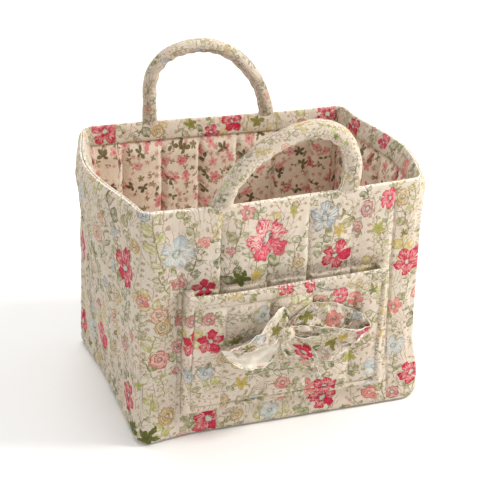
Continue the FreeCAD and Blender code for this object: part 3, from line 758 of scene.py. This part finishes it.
def plan_print(area, seed, heroes=(), sprigs=(), scale=1.0, grain=0.0, plain=1.0):
    """Motifs for a piece of printed cotton: chosen large flowers, then a seeded filling of smaller ones.

    grain turns the whole print, and plain spaces its small flowers further apart.
    """
    chooser = np.random.default_rng(seed)
    blooms = [motif(*hero, chooser.uniform()) for hero in heroes]
    small = ("rosebud", "ochre", "blue", "peach", "rosebud", "coral", "ochre")
    for spot in scatter(chooser, area, BLOOM_SPACING * scale * plain, blooms, BLOOM_MARGIN * scale):
        kind = chooser.choice([ROSE, ROSE, POPPY, ROSETTE])
        ink = chooser.choice(["sage", "lime", "olive"]) if kind == ROSETTE else chooser.choice(small)
        size = chooser.uniform(5, 8.5) * scale
        blooms.append(motif(kind, *spot, size, chooser.uniform(0, TAU), ink, chooser.uniform()))
    leaves = [motif(0, x, y, size, turn, ink, chooser.uniform()) for x, y, size, turn, ink in sprigs]
    for hero in heroes:
        if hero[0] in (POPPY, PALE) and hero[3] > 8:
            drop = np.array([math.sin(grain), -math.cos(grain)]) * hero[3] * 1.7
            x, y = hero[1:3] + drop
            leaves.append(motif(0, x, y, hero[3] * 1.25, grain, "sage", chooser.uniform()))
    for spot in scatter(chooser, area, SPRIG_SPACING * scale, leaves, SPRIG_MARGIN * scale):
        ink = chooser.choice(["lime", "olive", "sage", "olive", "gold", "forest"])
        size = chooser.uniform(15, 26) * scale
        leaves.append(motif(0, *spot, size, grain + chooser.normal(0, 0.3), ink, chooser.uniform()))
    twigs = []
    for spot in scatter(chooser, area, TWIG_SPACING * scale, (), 0):
        ink = chooser.choice(["pen", "umber", "umber"])
        size = chooser.uniform(17, 27) * scale
        kind = chooser.choice([TWIG, TWIG, TWIG, UMBEL])
        twigs.append(motif(kind, *spot, size, grain + chooser.normal(0, 0.22), ink, chooser.uniform()))
    return {"bloom": blooms, "sprig": leaves, "twig": twigs}


def plan_box_print():
    """The print that runs round all four walls and over the rim."""
    blooms = [(kind, float(printed(side, along)), *rest) for side in SIDE_NAMES
              for kind, along, *rest in HERO_BLOOMS[side]]
    sprigs = [(float(printed(side, along)), *rest) for side in HERO_SPRIGS for along, *rest in HERO_SPRIGS[side]]
    around = float(printed("back", wall_reach("back", HEIGHT / 2)))
    return plan_print((0, around, 0, 252), 11, blooms, sprigs)


# ---------------------------------------------------------------- quilted walls

LOOSE_SINK = 3.2     # how far loose cloth sinks where it is farthest from a seam
SEAM_GRIP = 3.0      # distance from a seam over which the cloth comes loose


def columns(seams, reach, pitch=2.3):
    """Distances along a panel with one on every seam, and the seams and ends themselves."""
    stops = [-reach] + [seam for seam in seams if abs(seam) < reach - 4] + [reach]
    places = [stops[0]]
    for low, high in zip(stops, stops[1:]):
        count = max(6, round((high - low) / pitch))
        part = np.arange(1, count + 1) / count
        part = part - 0.35 * np.sin(part * TAU) / TAU
        places.extend(low + (high - low) * part)
    return np.array(places), np.array(stops)


def puff(along, level, stops, seed, height, tucks=()):
    """How far quilted cloth swells between its seams, with the puckers that the stitching pulls in."""
    number = np.clip(np.searchsorted(stops, along, side="right") - 1, 0, len(stops) - 2)
    low, high = stops[number], stops[number + 1]
    part = np.clip((along - low) / (high - low), 0, 1)
    dome = (1 - np.abs(2 * part - 1) ** 2.2) * np.clip((high - low) / 40, 0.4, 1.1)
    nearest = np.min(np.abs(along[..., None] - stops[1:-1]), axis=-1, initial=99)
    crimp = ripple(along / 30, level / 12, seed + 3)
    pucker = np.exp(-nearest / 8) * (np.sin(level / 2.4 + number * 2.1 + 2 * crimp) + 1.2 * crimp)
    unevenness = ripple(along / 90, level / 110, seed)
    groove = 1.3 * np.exp(-(nearest / 1.8) ** 2)
    for tuck in tucks:
        beside = along - tuck
        groove = groove + 1.1 * np.exp(-(beside / 1.6) ** 2) - 0.9 * np.exp(-((beside + 4.5) / 3.2) ** 2)
    edge = np.clip(np.minimum(along - stops[0], stops[-1] - along) / 7, 0, 1) ** 0.7
    return (height * dome * (1 + 0.3 * unevenness) + 0.42 * pucker + 1.1 * unevenness - 1.1 * groove) * edge


def drawn_in(grid, free):
    """Loose cloth between the seams, sunk a little towards the middle of the base by each point's share."""
    return grid - LOOSE_SINK * grid / np.linalg.norm(grid, axis=-1, keepdims=True) * free[..., None]


def lengthwise(points):
    """Distance run along a list of (inset, level) points."""
    steps = np.hypot(*np.diff(points[:, :2], axis=0).T)
    return np.concatenate([[0], np.cumsum(steps)])


def quilted(name, side, face, back, seams, seed, material, inward=False, motifs=None, height=2.6, reach=None,
            stand_off=None, start=0.0, loose=False):
    """A quilted layer of a wall, from its face and its plain back as (inset, level, softness, fade) points.

    inward turns its face to the inside of the box, reach is half its length where it isn't the whole wall's,
    stand_off is its gap from the wall, and start is where the print begins.
    """
    along, stops = columns(seams, reach or wall_reach(side, HEIGHT / 2))
    ring = np.vstack([face, back])
    inset = np.broadcast_to(ring[:, 0], (len(along), len(ring)))
    level = np.broadcast_to(ring[:, 1], (len(along), len(ring)))
    tucks = () if inward or reach else DEEP_SEAMS[side]
    swell = puff(np.broadcast_to(along[:, None], inset.shape), level, stops, seed, height, tucks) * ring[:, 2]
    if stand_off is not None:
        inset = inset - stand_off(level)
    nearest = np.min(np.abs(along[:, None] - stops), axis=1)
    free = np.clip((nearest[:, None] - 0.6) / SEAM_GRIP, 0, 1) * np.clip(ring[:, 2] * 1.2 - 0.1, 0, 1)
    if side == "front" and not inward and not reach:
        behind_pocket = np.abs(along[:, None]) < POCKET_HALF + 8
        behind_pocket = behind_pocket & (level > POCKET_FOOT - 7) & (level < POCKET_MOUTH)
        swell = np.where(behind_pocket, np.minimum(swell, pocket_gap(level) - 0.2), swell)
        free = np.where(behind_pocket, 0, free)
    rings = wall(side, along[:, None], level, inset + swell * (1 if inward else -1))
    if loose:
        rings[:, :len(face)] = drawn_in(rings, free)[:, :len(face)]
    run = lengthwise(np.vstack([ring, ring[:1]])) + start
    strips = []
    for places in (along[:-1] + 0.001, along[1:] - 0.001):
        cloth = np.empty((len(places), len(ring) + 1, 3))
        cloth[..., 0] = printed(side, places)[:, None]
        cloth[..., 1] = run
        cloth[..., 2] = np.append(ring[:, 3], ring[0, 3])
        strips.append(cloth)
    return loft(name, rings, tuple(strips), material, motifs)


def profile(*pieces):
    """Points of a section; a point may leave out its softness and its fade."""
    return np.array([(*point, 0, 0)[:4] for piece in pieces for point in piece], float)


def upright(inset, low, high, pitch, fade=7.0):
    """Points up a wall, whose softness fades out at both ends."""
    levels = np.arange(low, high, pitch)
    softness = np.clip(np.minimum(levels - low, high - levels) / fade, 0.15, 1)
    return [(inset, level, soft) for level, soft in zip(levels, softness)]


def keep(piece, node, body="shell"):
    """Attaches a piece to the body it moves with, and hides the frame part that it stands for."""
    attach(piece, body)
    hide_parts(node)
    return piece


OUTER_FACE = profile(
    [(7.0, 0.6), (3.6, 1.1), (1.5, 2.8), (0.4, 5.6, 0.1)],
    upright(0.0, 9, 213, 2.0),
    # The fades over the rim's top paint a cream highlight along its rolled edge.
    [(0.3, 215, 0.15), (0.8, 218), (1.5, 221), (2.4, 223.4, 0, 0.1), (3.3, 224.9, 0, 0.6), (4.4, 225.6, 0, 0.8)],
)
OUTER_BACK = profile([(4.8, 223.5)], [(OUTER_THICKNESS, level) for level in range(210, 9, -40)],
                     [(4.4, 4.0), (7.0, 2.6)])
LINING_PROFILE = profile(upright(LINING_FACE, 10, 205, 2.2), [(LINING_FACE - 1.0, 208, 0.1), (8.2, 213)])
LINING_BACK = profile([(7.3, 213)], [(7.2, level) for level in range(200, 9, -45)], [(7.3, 10)])
HEM_PROFILE = profile(
    # The fades at the top of the fold carry on the cream painted highlight along the rim's rolled edge.
    [(4.8, 224.6), (5.0, 225.7, 0, 0.8), (5.9, 225.9, 0, 0.6), (6.9, 225.0, 0, 0.1), (7.7, 223, 0.1)],
    [(8.4, 220, 0.2)],
    [(9.0 + (218 - level) * 0.18, level, 0.4) for level in np.arange(218, 210.5, -1.5)],
    [(10.4, 209.6, 0.3), (10.2, 208.2, 0.2), (9.3, HEM_FOOT, 0.1), (8.6, 208.6)],
)
HEM_BACK = profile([(8.2, 212), (7.2, 218), (6.0, 222.6)])


def build_walls(motifs):
    for number, side in enumerate(SIDE_NAMES):
        piece = quilted(side + "_wall_cloth", side, OUTER_FACE, OUTER_BACK, QUILT_SEAMS[side], 21 + number,
                        PRINTED, motifs=motifs, height=1.9, start=-4, loose=True)
        keep(piece, side + "_panel")
        piece = quilted(side + "_lining_cloth", side, LINING_PROFILE, LINING_BACK, LINING_SEAMS[side], 31 + number,
                        LINED, inward=True, height=1.2, loose=True)
        keep(piece, side + "_lining")
        piece = quilted(side + "_rim_facing", side, HEM_PROFILE, HEM_BACK, LINING_SEAMS[side], 51 + number,
                        PRINTED, inward=True, motifs=motifs, height=1.0, start=226)
        keep(piece, side + "_hem")
        board = quilted(side + "_stiffener", side, profile([(5.3, level) for level in range(8, 221, 14)]),
                        profile([(6.7, level) for level in range(218, 7, -14)]), (), 61, BOARD, height=0)
        keep(board, side + "_board")


def rounded_outline(inset, count=160):
    """Plan of the base, from the middles of its four walls' corners."""
    points = []
    for side in SIDE_NAMES:
        reach = wall_reach(side, HEIGHT / 2)
        steps = np.linspace(-reach, reach, count // 4, endpoint=False)
        points.extend(wall(side, steps, 0, inset))
    return np.array(points)[:, :2]


def base_sheet(name, node, inset, bottom, top, material, motifs=None, crown=0.0):
    """A flat layer of the base, quilted in channels where it has a crown."""
    edge = rounded_outline(inset)
    shrink = np.array([1.0, 0.985, 0.96] + list(np.linspace(0.92, 0.04, 22)))
    faces = []
    for level, swell in ((bottom, 0.0), (top, crown)):
        ring_list = [edge * scale for scale in shrink]
        heights = []
        for number, ring in enumerate(ring_list):
            channel = np.abs(np.sin(ring[:, 0] / 40 * math.pi)) ** 0.6
            soft = np.clip(number / 3, 0, 1)
            heights.append(np.full(len(ring), level) + swell * channel * soft)
        faces.append([np.column_stack([ring, tall]) for ring, tall in zip(ring_list, heights)])
    under, over = faces
    rings = np.array(under[::-1] + over)
    cloth = np.concatenate([rings, rings[:, :1]], 1) * (1, 1, 0)
    piece = loft(name, rings, cloth, material, motifs)
    keep(piece, node)


def build_base():
    base_sheet("base_cloth", "base_panel", 6.5, 0.0, 3.2, PRINTED,
               plan_print((-140, 140, -110, 110), 71))
    base_sheet("base_stiffener", "base_board", 8.0, 4.2, 6.2, BOARD)
    base_sheet("base_lining_cloth", "base_lining", 10.0, 6.6, 9.0, LINED, crown=2.0)


# ---------------------------------------------------------------- pocket

POCKET_FACE = profile(
    [(-0.6, 33.2), (-2.6, 33.4), (-3.6, 34.4, 0.1)],
    upright(-POCKET_THICKNESS, 36, 140, 2.0, fade=5),
    [(-4.0, 141.5, 0.1), (-2.0, 142.2)],
)
POCKET_BACK = profile([(-0.4, level) for level in (142, 120, 90, 60, 36)])
POCKET_HEM = profile(
    [(-4.3, 139.4), (-4.9, 140.2), (-5.2, 141.6, 0.3), (-5.3, 144.5, 0.5), (-5.2, 147.5, 0.4)],
    [(-4.9, 149.6, 0.2, 0.3), (-3.9, 151.2, 0, 0.6), (-2.2, 151.8, 0, 0.6), (-0.6, 151.2, 0, 0.3)],
    [(0.4, 149.0), (0.7, 144.0), (0.4, 140.5), (-0.2, 140.2), (-0.3, 143.0), (-3.9, 143.0)],
)
POCKET_LINING_RING = profile([(0.5, level) for level in range(34, 142, 6)],
                             [(-0.2, level) for level in range(141, 33, -12)])


def build_pocket():
    blooms = [(kind, float(printed("front", along)), *rest) for kind, along, *rest in POCKET_BLOOMS]
    left, right = (float(printed("front", edge)) for edge in (-100, 100))
    motifs = plan_print((left, right, 25, 175), 101, blooms, grain=-math.pi / 2, scale=0.95)
    half = POCKET_HALF
    panel = quilted("pocket_cloth", "front", POCKET_FACE, POCKET_BACK, POCKET_SEAMS, 111, PRINTED,
                    motifs=motifs, reach=half, stand_off=pocket_gap, height=2.0, start=30)
    keep(panel, "pocket_panel")
    hem = quilted("pocket_mouth_band", "front", POCKET_HEM[:9], POCKET_HEM[9:], POCKET_SEAMS, 121, PRINTED,
                  motifs=motifs, reach=half + 6, stand_off=pocket_gap, height=0.7, start=139)
    keep(hem, "pocket_hem")
    lining = quilted("pocket_lining_cloth", "front", POCKET_LINING_RING[:18], POCKET_LINING_RING[18:], (), 131,
                     LINED, reach=half, stand_off=pocket_gap, height=0.3)
    keep(lining, "pocket_lining")
    for name, hand in (("left", -1), ("right", 1)):
        strip = side_band("pocket_%s_band" % name, hand, motifs)
        keep(strip, "pocket_side_" + name)
    keep(foot_band("pocket_foot_band", motifs), "pocket_bottom")


def band_section():
    """Rounded section of a folded edge: share of its width, and of its height above the wall."""
    angle = np.linspace(0, math.pi, 11)
    dome = np.column_stack([-np.cos(angle), np.sin(angle) ** 0.5])
    return np.vstack([dome, [(0.6, 0.04), (0, 0.0), (-0.6, 0.04)]])


SIDE_BAND_HALF, FOOT_BAND_HALF = 4.3, 3.6


def side_band(name, hand, motifs):
    """Folded edge down one side of the pocket, sewn to the wall."""
    section = band_section()
    levels = np.linspace(POCKET_FOOT - 6, POCKET_MOUTH + 0.8, 62)
    tall = pocket_gap(levels) + POCKET_THICKNESS + 1.1 + 0.35 * np.sin(levels / 2.2) * np.sin(levels / 7)
    ends = np.clip(np.minimum(levels - levels[0] + 0.6, levels[-1] - levels + 0.6) / 3, 0.3, 1) ** 0.5
    centre = POCKET_HALF + 3.2 + 0.25 * np.sin(levels / 6.3)
    x = hand * centre[:, None] + section[:, 0] * SIDE_BAND_HALF
    out = 0.2 + section[:, 1] * (tall * ends)[:, None]
    rings = wall("front", x, levels[:, None], -out)
    cloth = np.zeros((len(levels), len(section) + 1, 3))
    around = lengthwise(np.vstack([section, section[:1]]) * (SIDE_BAND_HALF, 9))
    cloth[..., 0] = printed("front", hand * POCKET_HALF) + around
    cloth[..., 1] = levels[:, None]
    return loft(name, rings, cloth, PRINTED, motifs)


def foot_band(name, motifs):
    """Folded edge along the foot of the pocket."""
    section = band_section()
    x = np.linspace(-POCKET_HALF - 7, POCKET_HALF + 7, 92)
    tall = 5.4 + 0.3 * np.sin(x / 2.4) * np.sin(x / 9)
    ends = np.clip((x[-1] - np.abs(x) + 0.6) / 3, 0.3, 1) ** 0.5
    level = POCKET_FOOT - 2.6 - section[:, 0] * FOOT_BAND_HALF + 0 * x[:, None]
    out = 0.2 + section[:, 1] * (tall * ends)[:, None]
    rings = wall("front", x[:, None], level, -out)
    cloth = np.zeros((len(x), len(section) + 1, 3))
    cloth[..., 0] = printed("front", x)[:, None]
    cloth[..., 1] = POCKET_FOOT + lengthwise(np.vstack([section, section[:1]]) * (4, 5))
    return loft(name, rings, cloth, PRINTED, motifs)


# ---------------------------------------------------------------- bow

KNOT = (-6, 106)
KNOT_SIZE = (8.4, 9.5, 6.2)      # half of its width, height and depth
KNOT_OUT = 8.5
RIBBON_THICKNESS = 1.3
# Widths of each ribbon's two raw edges.
EDGE_WIDTHS = {"left": (3.2, 3.6), "right": (3.0, 1.3), "middle": (6.5, 1.5), "tail": (5.5, 1.2)}
# Each ribbon's middle line: x, height, distance in front of the pocket, width, and the direction and lean of its
# width in degrees.
RIBBONS = {
    "left": ((-5, 104, 3.5, 14, 100, 0), (-14, 96, 4.5, 24, 104, -6), (-27, 90, 5.5, 30, 104, -8),
             (-42, 89, 6.5, 30, 106, -8), (-54, 91, 8.5, 24, 112, 0), (-63, 96, 12, 17, 124, 16),
             (-55, 100, 15, 18, 130, 24), (-42, 104, 16, 20, 126, 26), (-29, 109, 15, 25, 122, 22),
             (-17, 119, 13, 30, 116, 12), (-7, 124, 10.5, 27, 104, 6), (-3, 111, 8, 15, 92, 0)),
    "right": ((-4, 107, 3.5, 14, 84, 0), (9, 114, 5, 28, 72, -8), (26, 115, 6.5, 34, 74, -12),
              (45, 109, 8, 32, 76, -8), (62, 104, 11, 25, 74, 0), (70, 99, 14, 16, 72, 20),
              (60, 96, 15, 20, 82, 26), (44, 97, 13.5, 25, 88, 24), (28, 99, 11.5, 24, 92, 14),
              (12, 103, 9, 18, 94, 6), (-1, 106, 7.5, 12, 92, 0)),
    "middle": ((-4, 104, 6.5, 14, 10, 0), (2, 95, 11, 24, 4, 10), (8, 84, 14.5, 30, -6, 14),
               (13, 73, 13, 29, -24, 8), (20, 64, 9.5, 22, -36, 0), (27, 57, 6, 15, -40, 0)),
    "tail": ((-2, 104, 4.5, 18, 124, 0), (8, 96, 6, 40, 130, 6), (19, 85, 8.5, 46, 130, 8),
             (33, 86, 10.5, 38, 122, 8), (48, 91, 10, 28, 118, 6), (63, 99, 8, 22, 116, 0),
             (74, 105, 4.5, 15, 114, 0)),
}
# How much of a ribbon, from its start, shows the wrong side of the cloth, and how far the print is lost there.
INSIDE = {"left": 0.5}
REVERSE_FADE = -0.82
RIBBON_NODES = {"left": "bow_loop_left", "right": "bow_loop_right", "middle": "bow_tail_left",
                "tail": "bow_tail_right"}


def ribbon(key, seed):
    """One folded ribbon of the bow, cut from the print with raw cream edges."""
    route = np.array(RIBBONS[key], float)
    line, direction, run = spline(route, 84)
    direction = direction[:, :3] / np.linalg.norm(direction[:, :3], axis=1)[:, None]
    width, bearing, lean = line[:, 3], np.radians(line[:, 4]), np.radians(line[:, 5])
    across = np.column_stack([np.cos(bearing) * np.cos(lean), np.sin(bearing) * np.cos(lean), np.sin(lean)])
    normal = np.cross(direction, across)
    normal /= np.linalg.norm(normal, axis=1)[:, None]
    steps = np.sin(np.linspace(-math.pi / 2, math.pi / 2, 25))
    share = np.concatenate([steps, steps[::-1]])
    face = np.repeat([1.0, -1.0], len(steps))
    thick = RIBBON_THICKNESS / 2 * np.clip((1.04 - np.abs(share)) * 9, 0.35, 1)
    knot_gap = np.minimum(run, run[-1] - run) if key in ("left", "right") else run
    drift = ripple(run / 45, 0 * run, seed + 2)[:, None]
    gather = np.sin(share[None, :] * 7 + 2.5 * drift + seed) * (0.7 + 1.5 * np.exp(-knot_gap / 24))[:, None]
    wave = 2.2 * ripple(run[:, None] / 30, share[None, :] * 0.6, seed)
    wave = wave + 1.3 * ripple(run[:, None] / 12, share[None, :] * 1.2, seed + 5)
    roll = 3.0 * np.abs(share[None, :]) ** 6 * (0.6 + 0.6 * ripple(run / 20, 0 * run, seed + 7)[:, None])
    fray = 0.35 * np.sin(run[:, None] * 1.9 + share * 3) * (np.abs(share) > 0.9)
    points = (line[:, None, :3] + across[:, None] * (share[None, :] * width[:, None] / 2 + fray)[..., None]
              + normal[:, None] * (face * thick)[None, :, None])
    points[..., 2] += gather + wave + roll
    rings = on_pocket(points)
    cloth = np.zeros((len(line), len(share) + 1, 3))
    span = np.append(share, share[0])
    cloth[..., 0] = run[:, None]
    cloth[..., 1] = span * width[:, None] / 2
    turned = np.where(run / run[-1] < INSIDE.get(key, 0), -1, 1)[:, None]
    reverse = np.append(face, 1) * np.sign(normal[:, 2:3] + 1e-6) * turned < 0
    unevenness = np.clip(0.75 + 0.7 * ripple(run[:, None] / 24, np.sign(span) * 0.6, seed + 9), 0.1, 1.4)
    edge_width = np.where(span < 0, *EDGE_WIDTHS[key]) * unevenness
    bare = np.clip(1 - (1 - np.abs(span)) * width[:, None] / 2 / edge_width, 0, 1)
    cloth[..., 2] = np.where(reverse & (bare < 0.5), REVERSE_FADE, bare)
    motifs = plan_print((0, run[-1], -16, 16), seed, BOW_BLOOMS[key], scale=0.7)
    piece = loft("bow_ribbon_" + key, rings, cloth, PRINTED, motifs)
    keep(piece, RIBBON_NODES[key])


def build_bow():
    for number, key in enumerate(RIBBONS):
        ribbon(key, 141 + number)
    angle = np.linspace(0, TAU, 40, endpoint=False)
    rise = np.linspace(-1, 1, 19)
    full = np.sqrt(np.clip(1.06 - rise ** 2, 0.04, 1))
    level = KNOT[1] + rise * KNOT_SIZE[1]
    folds = 1 + 0.09 * np.sin(angle * 5 + 0.8 + 2 * rise[:, None])
    x = KNOT[0] + KNOT_SIZE[0] * np.cos(angle)[None, :] * full[:, None] * folds - 0.16 * (level - KNOT[1])[:, None]
    out = KNOT_OUT + KNOT_SIZE[2] * np.sin(angle)[None, :] * full[:, None] * folds
    rings = on_pocket(np.stack([x, np.broadcast_to(level[:, None], x.shape), out], -1))
    cloth = np.zeros((len(rise), len(angle) + 1, 3))
    cloth[..., 0] = np.append(angle, TAU)[None, :] * 8
    cloth[..., 1] = level[:, None]
    knot = loft("bow_knot_cloth", rings, cloth, PRINTED, plan_print((0, 50, 80, 112), 151, scale=0.5, plain=1.5))
    keep(knot, "bow_knot")


# ---------------------------------------------------------------- handles

def spline(points, count):
    """Evenly spaced points and directions on a smooth curve through given points.

    Columns past the third are carried along, such as a ribbon's width.
    """
    points = np.asarray(points, float)
    ends = np.vstack([2 * points[0] - points[1], points, 2 * points[-1] - points[-2]])
    fine = []
    for number in range(1, len(ends) - 2):
        p0, p1, p2, p3 = ends[number - 1:number + 3]
        t = np.linspace(0, 1, 24, endpoint=False)[:, None]
        fine.append(0.5 * (2 * p1 + (p2 - p0) * t + (2 * p0 - 5 * p1 + 4 * p2 - p3) * t ** 2
                           + (3 * p1 - p0 - 3 * p2 + p3) * t ** 3))
    fine = np.vstack(fine + [points[-1:]])
    run = np.concatenate([[0], np.cumsum(np.linalg.norm(np.diff(fine[:, :3], axis=0), axis=1))])
    stations = np.linspace(0, run[-1], count)
    line = np.column_stack([np.interp(stations, run, fine[:, axis]) for axis in range(points.shape[1])])
    direction = np.gradient(line, axis=0)
    direction /= np.linalg.norm(direction, axis=1)[:, None]
    return line, direction, stations


HANDLE_LINES = {
    # x and height of points along the middle of each tube, left foot to right foot
    "front": ((-60, 214), (-59.5, 227), (-53, 244), (-42, 257), (-27, 269), (-10, 278), (8, 283.5), (25, 285),
              (40, 281), (52, 271), (59, 256), (60.5, 241), (58, 227), (57, 214)),
    "back": ((-66, 214), (-66.5, 227), (-67, 246), (-67, 262), (-63, 277), (-53, 289), (-39, 296), (-22, 298.5),
             (-4, 296), (13, 288), (27, 276), (38, 261), (45, 245), (49.5, 227), (50, 214)),
}
HANDLE_RADIUS = {"front": 8.3, "back": 6.6}
HANDLE_SKIN = 2.2        # thickness of the cover
FILLING_FOOT = HINGE_HEIGHT + 22     # the filling ends above the bend of the folded handle
TAB_HALF_WIDTH = 11
TAB_FOOT, TAB_TOP = 196, HEIGHT - 3
# Section of a tab: share of its half width, and depth behind the wall's face.
TAB_SECTION = ((-1, 4.4), (-0.5, 4.2), (0, 4.2), (0.5, 4.2), (1, 4.4), (1, 5.0), (0, 5.0), (-1, 5.0))


def build_handle(side, seed):
    radius = HANDLE_RADIUS[side]
    facing = 1 if side == "front" else -1
    shape = np.array(HANDLE_LINES[side], float)
    line, direction, run = spline(shape, 170)
    feet = [wall(side, facing * shape[end, 0], HEIGHT, 5.2)[1] for end in (0, -1)]
    part = (line[:, 0] - shape[0, 0]) / (shape[-1, 0] - shape[0, 0])
    depth = feet[0] + (feet[1] - feet[0]) * np.clip(part, -0.1, 1.1)
    middle = np.column_stack([line[:, 0], depth, line[:, 1]])
    flat_direction = np.column_stack([direction[:, 0], np.zeros(len(line)), direction[:, 1]])
    normal = np.column_stack([-direction[:, 1], np.zeros(len(line)), direction[:, 0]])
    sideways = np.cross(flat_direction, normal)
    angle = np.linspace(0, TAU, 48, endpoint=False)
    end = np.minimum(run, run[-1] - run)
    flat = np.clip((end - 6) / 22, 0, 1) ** 0.8
    turning = np.abs(np.gradient(np.unwrap(np.arctan2(direction[:, 1], direction[:, 0])), run))
    inner = 0.5 - 0.5 * np.cos(angle)[None, :]
    folds = np.sin(run[:, None] / 2.1 + 1.5 * np.sin(run[:, None] / 17)) * inner ** 2
    folds = folds * np.clip(turning[:, None] * 30, 0.25, 1)
    lumps = ripple(run[:, None] / 60, angle[None, :] / TAU * 0.9, seed)
    seam_gap = np.abs(angle - math.pi * 0.86)
    seam = np.exp(-(seam_gap / 0.12) ** 2)[None, :]
    size = radius + 0.8 * folds + 0.55 * lumps - 0.7 * seam
    wide = size * (1 + 0.22 * (1 - flat))[:, None]
    thick = size * (0.30 + 0.70 * flat)[:, None]
    rings = (middle[:, None] + normal[:, None] * (np.cos(angle)[None, :] * wide)[..., None]
             + sideways[:, None] * (np.sin(angle)[None, :] * thick)[..., None])
    cloth = np.zeros((len(line), len(angle) + 1, 3))
    cloth[..., 0] = run[:, None]
    cloth[..., 1] = np.append(angle, TAU)[None, :] * radius
    cloth[:, :-1, 2] = 0.7 * (seam_gap < 0.14)
    motifs = plan_print((0, run[-1], 0, TAU * radius), seed + 3, scale=0.62, grain=-math.pi / 2, plain=1.35)
    piece = loft(side + "_handle_tube", rings, cloth, PRINTED, motifs)
    body = side + "_handle"
    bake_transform(piece)
    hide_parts(body + "_cover")
    held = line[:, 1] > FILLING_FOOT
    around = (normal[held][:, None] * np.cos(angle)[None, ::3, None]
              + sideways[held][:, None] * np.sin(angle)[None, ::3, None])
    core = middle[held][:, None] + around * (radius - HANDLE_SKIN)
    filling = loft(side + "_handle_wadding", core, np.zeros((len(core), core.shape[1] + 1, 3)), STUFFING)
    keep(filling, body + "_filling", body=body)
    levels = np.linspace(TAB_FOOT, TAB_TOP, 18)
    edge = np.array(TAB_SECTION)
    for name, x in (("left", shape[0, 0]), ("right", shape[-1, 0])):
        strip = wall(side, facing * x + edge[:, 0] * TAB_HALF_WIDTH, levels[:, None], edge[:, 1])
        cloth = np.zeros((len(levels), len(edge) + 1, 3))
        cloth[..., 0] = np.append(edge[:, 0], edge[0, 0]) * TAB_HALF_WIDTH
        cloth[..., 1] = levels[:, None]
        tab = loft("%s_handle_anchor_%s" % (side, name), strip, cloth, PRINTED, motifs)
        keep(tab, "%s_handle_tab_%s" % (side, name))


# ---------------------------------------------------------------- camera, lights and floor

CAMERA_PLACE = Vector((-0.4221, -1.1835, 0.7499))
CAMERA_YAW, CAMERA_PITCH, CAMERA_ROLL = 0.345, 0.460, 0.031
CAMERA_LENS, CAMERA_SENSOR = 107.15, 36


def set_camera():
    camera_data = bpy.data.cameras.new("camera")
    camera_data.sensor_width = CAMERA_SENSOR
    camera_data.lens = CAMERA_LENS
    camera = bpy.data.objects.new("camera", camera_data)
    bpy.context.collection.objects.link(camera)
    forward = Vector((math.sin(CAMERA_YAW) * math.cos(CAMERA_PITCH), math.cos(CAMERA_YAW) * math.cos(CAMERA_PITCH),
                      -math.sin(CAMERA_PITCH)))
    level_right = Vector((math.cos(CAMERA_YAW), -math.sin(CAMERA_YAW), 0))
    level_up = level_right.cross(forward)
    right = level_right * math.cos(CAMERA_ROLL) + level_up * math.sin(CAMERA_ROLL)
    up = level_up * math.cos(CAMERA_ROLL) - level_right * math.sin(CAMERA_ROLL)
    turn = Matrix((right, up, -forward)).transposed().to_4x4()
    camera.matrix_world = Matrix.Translation(CAMERA_PLACE) @ turn
    bpy.context.scene.camera = camera


def area_light(name, place, target, size, power, colour=(1, 1, 1)):
    light_data = bpy.data.lights.new(name, "AREA")
    light_data.shape = "DISK"
    light_data.size = size
    light_data.energy = power
    light_data.color = colour
    light = bpy.data.objects.new(name, light_data)
    bpy.context.collection.objects.link(light)
    light.location = place
    light.rotation_euler = (Vector(target) - Vector(place)).to_track_quat("-Z", "Y").to_euler()


def set_stage():
    world = bpy.data.worlds.new("studio")
    bpy.context.scene.world = world
    world.use_nodes = True
    world.node_tree.nodes["Background"].inputs["Color"].default_value = (1.0, 0.99, 0.975, 1)
    world.node_tree.nodes["Background"].inputs["Strength"].default_value = 0.74
    middle = (0, 0, 0.12)
    area_light("key", (1.5, -0.5, 1.2), middle, size=0.45, power=31, colour=(1.0, 0.985, 0.96))
    area_light("top", (-0.2, 0.7, 1.9), middle, size=1.0, power=13)
    floor_material, tree, shader = start_material("pale_floor", 0.9)
    place = new_node(tree, "ShaderNodeTexCoord").outputs["Object"]
    shade = noise(tree, place, (3, 3, 3), 2.0)
    connect(tree, mix(tree, shade, (0.93, 0.93, 0.93), (0.96, 0.96, 0.955)), shader.inputs["Base Color"])
    mesh = bpy.data.meshes.new("floor")
    reach = 12
    mesh.from_pydata([(-reach, -reach, 0), (reach, -reach, 0), (reach, reach, 0), (-reach, reach, 0)], [],
                     [(0, 1, 2, 3)])
    mesh.materials.append(floor_material)
    floor = bpy.data.objects.new("floor", mesh)
    bpy.context.collection.objects.link(floor)
    bpy.context.scene.view_settings.view_transform = "Standard"


# ---------------------------------------------------------------- the box

set_camera()
set_stage()
build_walls(plan_box_print())
build_base()
build_pocket()
build_bow()
build_handle("front", 81)
build_handle("back", 91)
